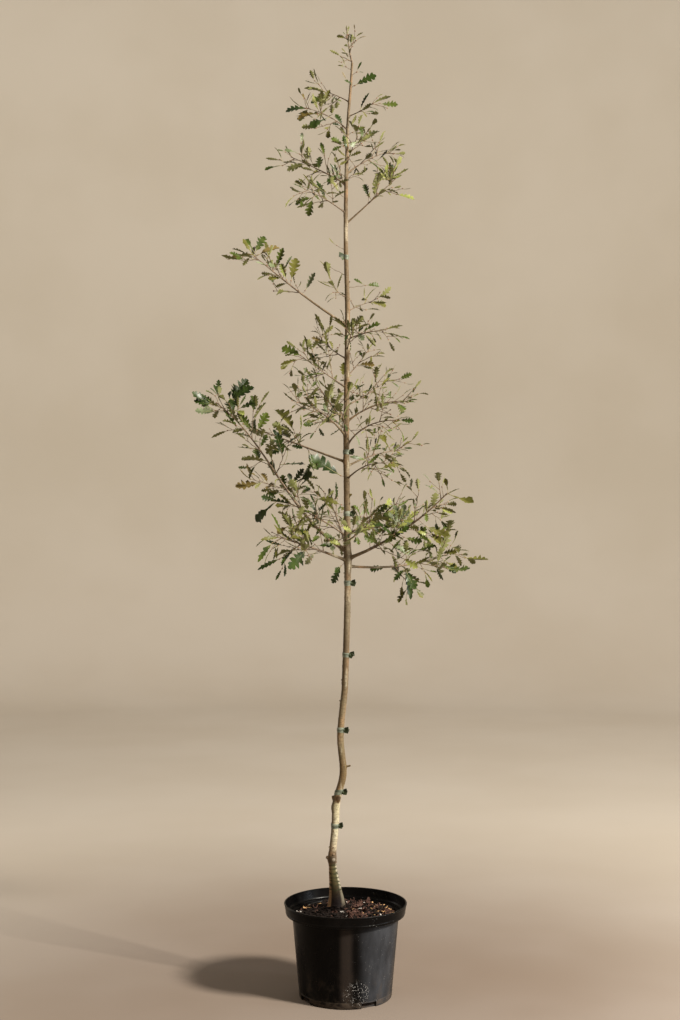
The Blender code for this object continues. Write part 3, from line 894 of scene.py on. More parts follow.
LIMBS = (
    # low
    Limb("right_low", 0.995, 341, (20, 32, 45), 0.27, 0.05, 0.0042, 8, 0.085, 0.054),
    Limb("right_under", 0.978, 22, (-5, 6, 24), 0.27, 0.1, 0.003, 6, 0.08, 0.054),
    Limb("left_low", 0.99, 206, (20, 18, 15), 0.175, 0.05, 0.0034, 8, 0.075, 0.05),
    Limb("left_long", 1.01, 171, (29, 56, 36), 0.455, 0.15, 0.0036, 9, 0.08, 0.064),
    Limb("back_low", 1.006, 95, (25, 32, 40), 0.22, 0.06, 0.003, 7, 0.08, 0.054, turn=15),
    Limb("front_low", 1.035, 290, (15, 18, 22), 0.145, 0.03, 0.0022, 4, 0.055, 0.052),
    Limb("left_bushy", 1.045, 185, (35, 30, 25), 0.145, 0.022, 0.0022, 6, 0.065, 0.048),
    Limb("right_bushy", 1.05, 15, (30, 28, 25), 0.125, 0.022, 0.0022, 5, 0.06, 0.052),
    # middle
    Limb("left_mid", 1.215, 165, (20, 20, 20), 0.2, 0.085, 0.0027, 5, 0.065, 0.056),
    Limb("right_mid_low", 1.175, 310, (35, 15, -5), 0.13, 0.04, 0.002, 4, 0.055, 0.044),
    Limb("right_mid", 1.205, 35, (25, 15, 5), 0.15, 0.05, 0.0023, 5, 0.06, 0.044),
    Limb("right_mid_up", 1.25, 325, (55, 25, -5), 0.135, 0.04, 0.0023, 4, 0.058, 0.044, turn=20),
    Limb("left_mid_up", 1.272, 212, (50, 30, 10), 0.145, 0.035, 0.0025, 7, 0.06, 0.044),
    Limb("left_mid_back", 1.3, 135, (45, 45, 45), 0.145, 0.03, 0.0022, 5, 0.058, 0.044),
    Limb("right_high_mid", 1.306, 345, (40, 18, -5), 0.145, 0.035, 0.0023, 6, 0.058, 0.044),
    Limb("right_mid_back", 1.345, 40, (20, 28, 35), 0.135, 0.03, 0.002, 5, 0.058, 0.044),
    Limb("back_mid", 1.325, 90, (30, 25, 20), 0.16, 0.035, 0.0021, 5, 0.058, 0.046),
    Limb("front_mid", 1.27, 265, (30, 22, 14), 0.13, 0.03, 0.0019, 4, 0.052, 0.046),
    Limb("left_upper_mid", 1.385, 200, (30, 32, 35), 0.125, 0.025, 0.002, 5, 0.055, 0.046),
    Limb("right_upper_mid", 1.41, 40, (40, 45, 50), 0.085, 0.015, 0.0017, 3, 0.042, 0.042),
    Limb("left_upper_back", 1.45, 150, (25, 35, 45), 0.095, 0.018, 0.0017, 3, 0.045, 0.046, turn=-20),
    Limb("front_upper", 1.47, 280, (35, 30, 25), 0.08, 0.015, 0.0016, 3, 0.04, 0.044),
    Limb("right_upper", 1.495, 335, (20, 10, 0), 0.09, 0.018, 0.0017, 3, 0.045, 0.042),
    Limb("left_high", 1.526, 190, (30, 36, 38), 0.255, 0.12, 0.0027, 4, 0.056, 0.054),
    Limb("right_small", 1.558, 35, (30, 22, 15), 0.065, 0.012, 0.0014, 2, 0.036, 0.04),
    Limb("left_small", 1.59, 205, (15, 35, 55), 0.05, 0.012, 0.0013, 1, 0.03, 0.04, turn=20),
    # crown
    Limb("right_crown_low", 1.758, 347, (40, 40, 40), 0.145, 0.055, 0.002, 4, 0.05, 0.044),
    Limb("left_crown_low", 1.783, 210, (30, 22, 15), 0.11, 0.028, 0.0018, 5, 0.052, 0.04),
    Limb("back_crown", 1.835, 98, (35, 30, 25), 0.11, 0.02, 0.0017, 4, 0.05, 0.04),
    Limb("left_crown_mid", 1.85, 163, (30, 28, 25), 0.145, 0.04, 0.0019, 5, 0.052, 0.04),
    Limb("right_crown_mid", 1.872, 25, (40, 30, 20), 0.12, 0.035, 0.0018, 4, 0.05, 0.04),
    Limb("front_crown", 1.895, 285, (30, 24, 18), 0.095, 0.018, 0.0016, 4, 0.045, 0.04),
    Limb("left_crown_high", 1.973, 200, (40, 22, 5), 0.105, 0.022, 0.0015, 3, 0.045, 0.04),
    Limb("right_top", 2.004, 340, (15, 22, 30), 0.06, 0.012, 0.0013, 2, 0.035, 0.044),
    Limb("left_top", 2.036, 155, (35, 25, 15), 0.08, 0.015, 0.0013, 2, 0.038, 0.038),
)
LEADER = Limb("leader", 2.125, 165, (76, 80, 84), 0.062, 0.0, 0.0022, 3, 0.028, 0.028)
BOUGH_LIMBS = (
    "right_low", "right_under", "left_low", "left_long", "back_low", "left_mid", "right_mid",
    "left_mid_up", "right_high_mid", "left_high", "right_crown_low", "left_crown_mid",
    "right_crown_mid",
)


@dataclass(frozen=True)
class TrunkForm:
    """The trunk's bends, girth and swellings."""

    foot: float = 0.1925
    top: float = 2.125
    flare_top: float = 0.33
    flare_spacing: float = 0.0155
    ring_spacing: float = 0.064
    bends: tuple[Triple, ...] = (
        (0.1925, -0.0215, 0.014), (0.232, -0.0225, 0.013), (0.305, -0.03, 0.006),
        (0.385, -0.0235, 0.005), (0.44, -0.0205, 0.003), (0.505, -0.0055, -0.003),
        (0.59, -0.0115, -0.002), (0.7, -0.0015, 0.004), (0.95, 0.005, -0.003),
        (1.26, 0.0018, 0.004), (1.55, 0.0045, -0.003), (1.75, 0.0005, 0.0),
        (1.98, 0.005, 0.002), (2.125, 0.015, 0.0),
    )
    girth: tuple[Pair, ...] = (
        (0.1925, 0.0235), (0.206, 0.0198), (0.232, 0.015), (0.267, 0.0112), (0.296, 0.0082),
        (0.44, 0.009), (0.556, 0.0078), (0.78, 0.0074), (1.05, 0.0075), (1.4, 0.0063),
        (1.7, 0.0051), (1.886, 0.0042), (2.125, 0.0026),
    )
    knots: tuple[Triple, ...] = ((0.308, 0.0014, 0.012), (0.998, 0.0012, 0.03))

    def centre(self, height: float) -> Vector:
        """Give the middle of the trunk at a height."""
        across, back = ease(self.bends, height)
        return Vector((across, back, height))

    def radius(self, height: float) -> float:
        """Give the trunk's radius at a height, with its swellings."""
        swelling = sum(extra * math.exp(-((height - at) / half) ** 2) for at, extra, half in self.knots)
        return float(np.interp(height, *zip(*self.girth))) + swelling

    def heights(self) -> list[float]:
        """List the heights between which the trunk takes up room.

        Returns:
            The heights, closer together in the flare.
        """
        flare = round((self.flare_top - self.foot) / self.flare_spacing)
        shaft = round((self.top - self.flare_top) / self.ring_spacing)
        low = np.linspace(self.foot, self.flare_top, flare + 1)
        return [*low, *np.linspace(self.flare_top, self.top, shaft + 1)[1:]]


@dataclass(frozen=True)
class TieForm:
    """Where the tape ties sit, and how far their tails reach."""

    heights: tuple[float, ...] = (0.3855, 0.463, 0.6045, 0.7755, 0.9395, 1.097, 1.238, 1.683)
    width: float = 0.012
    thickness: float = 0.0012
    tail_length: float = 0.01
    bearing: float = 335.0
    bearing_high: float = 205.0
    high: float = 1.5

    def heading(self, height: float) -> Vector:
        """Give the direction of a tie's tail."""
        return bearing_vector(self.bearing_high if height > self.high else self.bearing, 0)

    def line(self, trunk: TrunkForm, height: float) -> tuple[Vector, Vector]:
        """Give the line from the trunk's axis to the end of a tie's tail.

        Args:
            trunk: what the tie is on.
            height: the tie's height.

        Returns:
            The line's two ends.
        """
        start = trunk.centre(height)
        length = trunk.radius(height) + self.thickness + self.tail_length
        return start, start + self.heading(height) * length


class Room:
    """Rods taken up so far: lines with a radius, each with the name of its owner."""

    CAPACITY = 12000
    CLEARANCE = 0.0008

    def __init__(self) -> None:
        """Start with no rods."""
        self.starts, self.ends = np.zeros((self.CAPACITY, 3)), np.zeros((self.CAPACITY, 3))
        self.radii, self.owners = np.zeros(self.CAPACITY), np.zeros(self.CAPACITY, int)
        self.names: dict[str, int] = {}
        self.count = 0

    def take(self, start: Vector, end: Vector, radius: float, owner: str) -> None:
        """Note one more rod.

        Args:
            start: one end.
            end: the other end.
            radius: its radius.
            owner: whose it is.
        """
        self.starts[self.count], self.ends[self.count] = start, end
        self.radii[self.count] = radius
        self.owners[self.count] = self.names.setdefault(owner, len(self.names))
        self.count += 1

    def is_free(self, start: Vector, end: Vector, radius: float, owner: str) -> bool:
        """Tell whether a new rod stays clear of every rod that has another owner.

        Args:
            start: one end.
            end: the other end.
            radius: its radius.
            owner: whose it is.

        Returns:
            True if nothing is in the way.
        """
        others = self.owners[:self.count] != self.names.get(owner, -1)
        if not others.any():
            return True
        starts, ends = self.starts[:self.count][others], self.ends[:self.count][others]
        line, lines, offset = np.array(end - start), ends - starts, np.array(start) - starts
        own, cross = line @ line, lines @ line
        squares = np.einsum("ij,ij->i", lines, lines)
        ahead, beside = offset @ line, np.einsum("ij,ij->i", offset, lines)
        spread = np.maximum(own * squares - cross * cross, 1e-12)
        here = np.clip((cross * beside - squares * ahead) / spread, 0, 1)
        there = np.clip((cross * here + beside) / squares, 0, 1)
        here = np.clip((cross * there - ahead) / own, 0, 1)
        gaps = np.linalg.norm(offset + here[:, None] * line - there[:, None] * lines, axis=1)
        return bool((gaps > self.radii[:self.count][others] + radius + self.CLEARANCE).all())


@dataclass(frozen=True)
class Leaf:
    """One leaf: its root, heading, whole length, roll in degrees and the spray that it is in."""

    root: Vector
    heading: Vector
    size: float
    roll: float
    spray: int
    kind: "LeafKind | None" = None
    tint: "Tint | None" = None


@dataclass
class Mass:
    """One mass of foliage with the bough that carries it."""

    limb: Limb
    bough: Path
    stem: Path
    shoots: list[Path]
    leaves: list[Leaf]
    crowd: Room
    twigs: list[tuple[int, Path]] = field(default_factory=list)

    @property
    def node(self) -> str:
        """Name of the solid that holds the mass."""
        return f"leaves_{self.limb.name}"


@dataclass(frozen=True)
class GrowthRule:
    """How shoots, twigs and leaves leave a stem, and what keeps them apart."""

    seed: int = 11
    golden_angle: float = 137.5
    path_steps: int = 16
    bough_steps: int = 3
    stem_steps: int = 5
    sway: float = 7.0
    sway_step: float = 2.4
    shoot_split: Pair = (42.0, 65.0)
    shoot_lift: float = 0.06
    shoot_shortening: float = 0.45
    shoot_span: Pair = (0.05, 0.92)
    shoot_shift: float = 0.2
    shoot_sizes: Pair = (0.7, 1.2)
    shoot_radius: float = 0.0012
    leaf_spacing: float = 0.023
    stem_leaf_spacing: float = 0.045
    leaf_span: Pair = (0.3, 0.95)
    leaf_turn: float = 20.0
    leaf_split: Pair = (38.0, 62.0)
    end_leaf_split: Pair = (5.0, 25.0)
    leaf_lift: float = 0.02
    leaf_roll: float = 45.0
    leaf_sizes: Pair = (0.75, 1.22)
    leaf_width: float = 0.32
    crowding: float = 0.35
    stalk: float = 0.006
    reach_spare: float = 0.65
    twig_spacing: float = 0.028
    twig_places: Pair = (0.25, 0.85)
    twig_lengths: Pair = (0.016, 0.034)
    twig_split: Pair = (30.0, 60.0)
    twig_leaves: tuple[int, ...] = (2, 2, 3)
    twig_first_leaf: float = 0.45
    twig_leaf_share: float = 0.72
    twig_crowding: float = 0.16

    def limb_path(self, limb: Limb, trunk: TrunkForm) -> Path:
        """Lead a limb out in even steps.

        Args:
            limb: which limb.
            trunk: what it grows from.

        Returns:
            Its path, from the trunk's axis to its tip.
        """
        point = trunk.centre(limb.foot)
        path = [point]
        foot, middle, tip = limb.rises
        for step in range(self.path_steps):
            share = (step + 0.5) / self.path_steps
            rise = foot + (4 * middle - 3 * foot - tip) * share + 2 * (foot + tip - 2 * middle) * share ** 2
            sway = self.sway * math.sin(self.sway_step * step + 50 * limb.foot)
            heading = bearing_vector(limb.bearing + limb.turn * share + sway, rise)
            point = point + heading * (limb.length + trunk.radius(limb.foot)) / self.path_steps
            path.append(point)
        return path

    def leaves_along(self, rng: random.Random, path: Path, count: int, first: float, length: float,
                     spray: int) -> list[Leaf]:
        """Set leaves a golden angle apart along a shoot, the last one at its end.

        Args:
            rng: the draws.
            path: the shoot.
            count: how many leaves.
            first: the share of the shoot where they start.
            length: a leaf's usual length.
            spray: the spray that they are in.

        Returns:
            The leaves.
        """
        made = []
        spin = rng.uniform(0, 360)
        for index in range(count):
            root, axis = place_on(path, first + (self.leaf_span[1] - first) * index / max(count - 1, 1))
            limits = self.end_leaf_split if index == count - 1 else self.leaf_split
            turn = spin + self.golden_angle * index + rng.uniform(-self.leaf_turn, self.leaf_turn)
            heading = split_from(axis, turn, rng.uniform(*limits), self.leaf_lift)
            size = length * rng.uniform(*self.leaf_sizes)
            made.append(Leaf(root, heading, size, rng.uniform(-self.leaf_roll, self.leaf_roll), spray))
        return made

    def grow_shoots(self, rng: random.Random, limb: Limb, stem: Path, room: Room) -> list[Path]:
        """Grow the side shoots of a stem that fit in the room left.

        Args:
            rng: the draws.
            limb: which limb.
            stem: its leafy stretch.
            room: what is taken.

        Returns:
            The shoots, each a root and a tip.
        """
        made = []
        spin = rng.uniform(0, 360)
        for index in range(limb.shoots):
            share = (index + rng.uniform(-self.shoot_shift, self.shoot_shift)) / max(limb.shoots - 1, 1)
            low, high = self.shoot_span
            share = low + (high - low) * min(max(share, 0.0), 1.0)
            root, axis = place_on(stem, share)
            heading = split_from(axis, spin + self.golden_angle * index, rng.uniform(*self.shoot_split),
                                 self.shoot_lift)
            size = limb.shoot_length * (1 - self.shoot_shortening * share) * rng.uniform(*self.shoot_sizes)
            tip = root + heading * size
            if room.is_free(root + heading * self.stalk, tip, self.shoot_radius, limb.name):
                made.append([root, tip])
                room.take(root, tip, self.shoot_radius, limb.name)
        return made

    def within_reach(self, mass: Mass, point: Vector) -> bool:
        """Tell whether a point lies in the space that a mass keeps to."""
        reach = mass.limb.shoot_length + self.reach_spare * mass.limb.leaf_length
        return min((point - spot).length for spot in mass.stem) < reach

    def keep_leaves(self, mass: Mass, grown: Iterable[Leaf], room: Room, crowding: float) -> int:
        """Keep the leaves that have room and reach, and drop the rest.

        Args:
            mass: the mass that they are on.
            grown: the leaves to try.
            room: what other masses have taken.
            crowding: the share of a leaf's width that its neighbours leave free.

        Returns:
            How many were kept.
        """
        kept = 0
        for leaf in grown:
            start, tip = leaf.root + leaf.heading * self.stalk, leaf.root + leaf.heading * leaf.size
            half = leaf.size * self.leaf_width / 2
            if not (self.within_reach(mass, tip) and room.is_free(start, tip, half, mass.limb.name)):
                continue
            if mass.crowd.is_free(start, tip, half * crowding, mass.limb.name):
                mass.leaves.append(leaf)
                room.take(start, tip, half, mass.limb.name)
                mass.crowd.take(start, tip, half * crowding, "leaf")
                kept += 1
        return kept

    def grow_mass(self, limb: Limb, path: Path, bare_share: float, room: Room) -> Mass:
        """Grow the stem, shoots and leaves of one mass of foliage.

        Args:
            limb: which limb.
            path: its path.
            bare_share: the share of the path that has no leaves.
            room: what is taken.

        Returns:
            The mass.
        """
        rng = random.Random(self.seed * sum(map(ord, limb.name)))
        stem = stretch(path, bare_share, 1.0, self.stem_steps)
        shoots = self.grow_shoots(rng, limb, stem, room)
        count = max(3, round((limb.length - limb.bare) / self.stem_leaf_spacing))
        grown = self.leaves_along(rng, stem, count, self.leaf_span[0], limb.leaf_length, 0)
        for spray, shoot in enumerate(shoots, start=1):
            count = max(2, round((shoot[1] - shoot[0]).length / self.leaf_spacing))
            grown += self.leaves_along(rng, shoot, count, self.leaf_span[0], limb.leaf_length, spray)
        mass = Mass(limb, stretch(path, 0.0, bare_share, self.bough_steps), stem, shoots, [], Room())
        self.keep_leaves(mass, grown, room, self.crowding)
        return mass

    def branch_again(self, mass: Mass, room: Room) -> None:
        """Carry the rule on to finer twigs with smaller leaves.

        Args:
            mass: the mass that they grow in.
            room: what is taken.
        """
        rng = random.Random(self.seed * sum(map(ord, mass.limb.name)) + 1)
        for spray, line in enumerate([mass.stem, *mass.shoots]):
            length = sum((end - start).length for start, end in pairwise(line))
            count = round(length / self.twig_spacing)
            spin = rng.uniform(0, 360)
            for index in range(count):
                root, axis = place_on(line, (index + rng.uniform(*self.twig_places)) / count)
                heading = split_from(axis, spin + self.golden_angle * index, rng.uniform(*self.twig_split),
                                     self.shoot_lift)
                tip = root + heading * rng.uniform(*self.twig_lengths)
                leaves = self.leaves_along(
                    rng, [root, tip], rng.choice(self.twig_leaves), self.twig_first_leaf,
                    mass.limb.leaf_length * self.twig_leaf_share, spray)
                start = root + heading * self.stalk
                if not room.is_free(start, tip, self.shoot_radius / 2, mass.limb.name):
                    continue
                if self.keep_leaves(mass, leaves, room, self.twig_crowding):
                    mass.twigs.append((spray, [root, tip]))
                    room.take(start, tip, self.shoot_radius / 2, mass.limb.name)

    def grow_plant(self, trunk: TrunkForm, ties: TieForm) -> list[Mass]:
        """Grow every mass, one after another, in the room that the others leave.

        Args:
            trunk: the trunk.
            ties: the tape ties on it.

        Returns:
            The masses.
        """
        room = Room()
        for low, high in pairwise(trunk.heights()):
            room.take(trunk.centre(low), trunk.centre(high), trunk.radius(low), "trunk")
        for height in ties.heights:
            start, tip = ties.line(trunk, height)
            room.take(start, tip, ties.width / 2, "tie")
        paths = {limb: self.limb_path(limb, trunk) for limb in LIMBS}
        for limb, path in paths.items():
            for start, end in pairwise(path):
                room.take(start, end, limb.radius, limb.name)
        masses = []
        for limb, path in paths.items():
            inside = trunk.radius(limb.foot)
            bare_share = (limb.bare + inside) / (limb.length + inside)
            masses.append(self.grow_mass(limb, path, bare_share, room))
        leader = [point + UP * (0.0003 + LEADER.radius / 4) for point in self.limb_path(LEADER, trunk)]
        masses.append(self.grow_mass(LEADER, leader, 0.0, room))
        for mass in masses:
            self.branch_again(mass, room)
        return masses


# ---- leaves
class LeafKind(Enum):
    """Outlines of the plant's leaves: rows of (share of the length, half width, forward lean)."""

    LOBED = (
        (0.0, 0.0, 0.0), (0.09, 0.034, 0.0), (0.17, 0.11, 0.02), (0.235, 0.142, 0.045),
        (0.29, 0.054, 0.0), (0.37, 0.17, 0.02), (0.445, 0.226, 0.05), (0.5, 0.07, 0.0),
        (0.575, 0.205, 0.02), (0.65, 0.245, 0.05), (0.7, 0.086, 0.0), (0.77, 0.172, 0.02),
        (0.835, 0.18, 0.04), (0.885, 0.084, 0.0), (0.945, 0.086, 0.01), (1.0, 0.0, 0.0),
    )
    SPOON = (
        (0.0, 0.0, 0.0), (0.14, 0.026, 0.0), (0.27, 0.038, 0.01), (0.36, 0.026, 0.0),
        (0.46, 0.062, 0.0), (0.545, 0.15, 0.03), (0.6, 0.108, 0.0), (0.685, 0.205, 0.03),
        (0.745, 0.158, 0.0), (0.83, 0.19, 0.02), (0.9, 0.124, 0.0), (0.955, 0.086, 0.0),
        (1.0, 0.0, 0.0),
    )
    STRAP = (
        (0.0, 0.0, 0.0), (0.12, 0.032, 0.0), (0.22, 0.084, 0.03), (0.29, 0.046, 0.0),
        (0.39, 0.112, 0.03), (0.46, 0.058, 0.0), (0.56, 0.13, 0.03), (0.63, 0.068, 0.0),
        (0.73, 0.11, 0.03), (0.8, 0.06, 0.0), (0.9, 0.056, 0.0), (1.0, 0.0, 0.0),
    )

    def blade(self, seed: int) -> Shape:
        """Shape a blade from a grid, two faces wide, and close it with its own underside.

        Args:
            seed: which variant of it.

        Returns:
            The blade, one unit long along +Y, with its upper side in slot 0 and its lower in slot 1.
        """
        rng, rows, bm, rib = random.Random(seed), self.value, bmesh.new(), 0.014
        last = len(rows) - 1
        drawn = {(row, side): (rng.uniform(0.82, 1.14), rng.uniform(-0.01, 0.01))
                 for row in range(len(rows)) for side in (-1, 1)}
        for vert in bmesh.ops.create_grid(bm, x_segments=2, y_segments=last, size=1.0)["verts"]:
            side, row = round(vert.co.x), round((vert.co.y + 1) / 2 * last)
            along, half, lean = rows[row]
            if side and 0 < row < last:
                wider, shift = drawn[row, side]
                vert.co = (side * half * wider, along + lean + shift, 0.0)
            else:
                vert.co = (side * half, along, 0.0)
        under = bmesh.ops.duplicate(bm, geom=[*bm.verts, *bm.edges, *bm.faces])["geom"]
        lower = [item for item in under if isinstance(item, bmesh.types.BMFace)]
        bmesh.ops.reverse_faces(bm, faces=lower)
        for face in lower:
            face.material_index = 1
        for item in under:
            if isinstance(item, bmesh.types.BMVert) and abs(item.co.x) < 1e-6 and 0.01 < item.co.y < 0.99:
                item.co.z = -rib * (1.1 - item.co.y)
        bmesh.ops.remove_doubles(bm, verts=bm.verts, dist=1e-5)
        return Shape.taken_from(bm)


@dataclass(frozen=True)
class LeafPose:
    """How one blade is turned over, folded, bent, twisted, widened and waved."""

    turn: float
    fold: float
    curl: float
    twist: float
    breadth: float
    ripple: float
    phase: float

    @classmethod
    def drawn(cls, rng: random.Random, turn: float) -> "LeafPose":
        """Draw a pose for a leaf that turns over by at most so many degrees."""
        curl = rng.choice((-1.0, 1.0, 1.0)) * rng.uniform(0.12, 0.7)
        return cls(rng.uniform(-turn, turn), rng.uniform(4, 28), curl, rng.uniform(-0.45, 0.45),
                   rng.uniform(0.88, 1.2), rng.uniform(0.04, 0.18), rng.uniform(0, math.tau))

    def set(self, points: np.ndarray, leaf: Leaf, stalk: float) -> np.ndarray:
        """Bend a blade's points, and put them where the leaf grows.

        Args:
            points: points of a blade one unit long, as (across, along, above).
            leaf: the leaf.
            stalk: the length of its stalk.

        Returns:
            The points in place.
        """
        across, along, above = points.T
        across = across * self.breadth
        wave = np.sin(along * 21 + self.phase + np.sign(across) * 1.3)
        above = above + np.abs(across) * (math.tan(math.radians(self.fold)) + self.ripple * wave)
        turn = self.twist * along
        across, above = (across * np.cos(turn) - above * np.sin(turn),
                         across * np.sin(turn) + above * np.cos(turn))
        bend = self.curl * along
        forward = np.sin(bend) / self.curl + above * np.sin(bend)
        upward = above * np.cos(bend) - (1 - np.cos(bend)) / self.curl
        side, top = across_from(leaf.heading)
        roll = math.radians(leaf.roll + self.turn)
        beside = side * math.cos(roll) + top * math.sin(roll)
        over = beside.cross(leaf.heading)
        place = np.outer(across, beside) + np.outer(forward, leaf.heading) + np.outer(upward, over)
        return np.array(leaf.root + leaf.heading * stalk) + place * (leaf.size - stalk)


class Tint(Enum):
    """Tints that the sprays of leaves are dealt."""

    OLIVE = LeafSkin("leaf_olive", (0.048, 0.046, 0.006), (0.128, 0.122, 0.022), 0.46)
    GREEN = LeafSkin("leaf_green", (0.026, 0.04, 0.004), (0.076, 0.1, 0.014), 0.42)
    DARK = LeafSkin("leaf_dark", (0.01, 0.02, 0.002), (0.036, 0.06, 0.008), 0.36)
    # a pale grey-green leaf tone, partly a painted reflection of the sky
    SILVER = LeafSkin("leaf_silver", (0.086, 0.104, 0.048), (0.17, 0.196, 0.108), 0.42)
    # a pale yellow-green leaf tone, partly painted sunlight on lit leaves
    BRIGHT = LeafSkin("leaf_bright", (0.14, 0.158, 0.034), (0.275, 0.29, 0.08), 0.45)
    BRONZE = LeafSkin("leaf_bronze", (0.078, 0.054, 0.012), (0.155, 0.112, 0.03), 0.5)


@dataclass(frozen=True)
class Tuft:
    """A few leaves of one tint on a shoot of their own, in a place of its own.

    The host is a limb's name with a share of its stem, or the trunk with a height in metres. Each
    leaf is a kind, bearing, rise, length and how far its upper side is rolled to the front. The
    lengths are millimetres.
    """

    host: str
    at: float
    bearing: float
    rise: float
    length: int
    tint: Tint
    leaves: tuple[tuple[LeafKind, float, float, int, float], ...]

    def grow(self, masses: Sequence[Mass], trunk: TrunkForm) -> None:
        """Add the shoot and its leaves to the mass that they are in.

        Args:
            masses: the masses of foliage.
            trunk: the trunk.
        """
        if self.host == "trunk":
            mass = min(masses, key=lambda other: abs(other.limb.foot - self.at))
            root, inside = trunk.centre(self.at), trunk.radius(self.at)
        else:
            mass = next(other for other in masses if other.limb.name == self.host)
            root, inside = place_on(mass.stem, self.at)[0], 0.0
        tip = root + bearing_vector(self.bearing, self.rise) * (self.length / 1000 + inside)
        mass.twigs.append((-1, [root, tip]))
        for kind, bearing, rise, size, roll in self.leaves:
            heading = bearing_vector(bearing, rise)
            front = roll if heading.x < 0 else -roll
            mass.leaves.append(Leaf(tip, heading, size / 1000, front, -1, kind, self.tint))


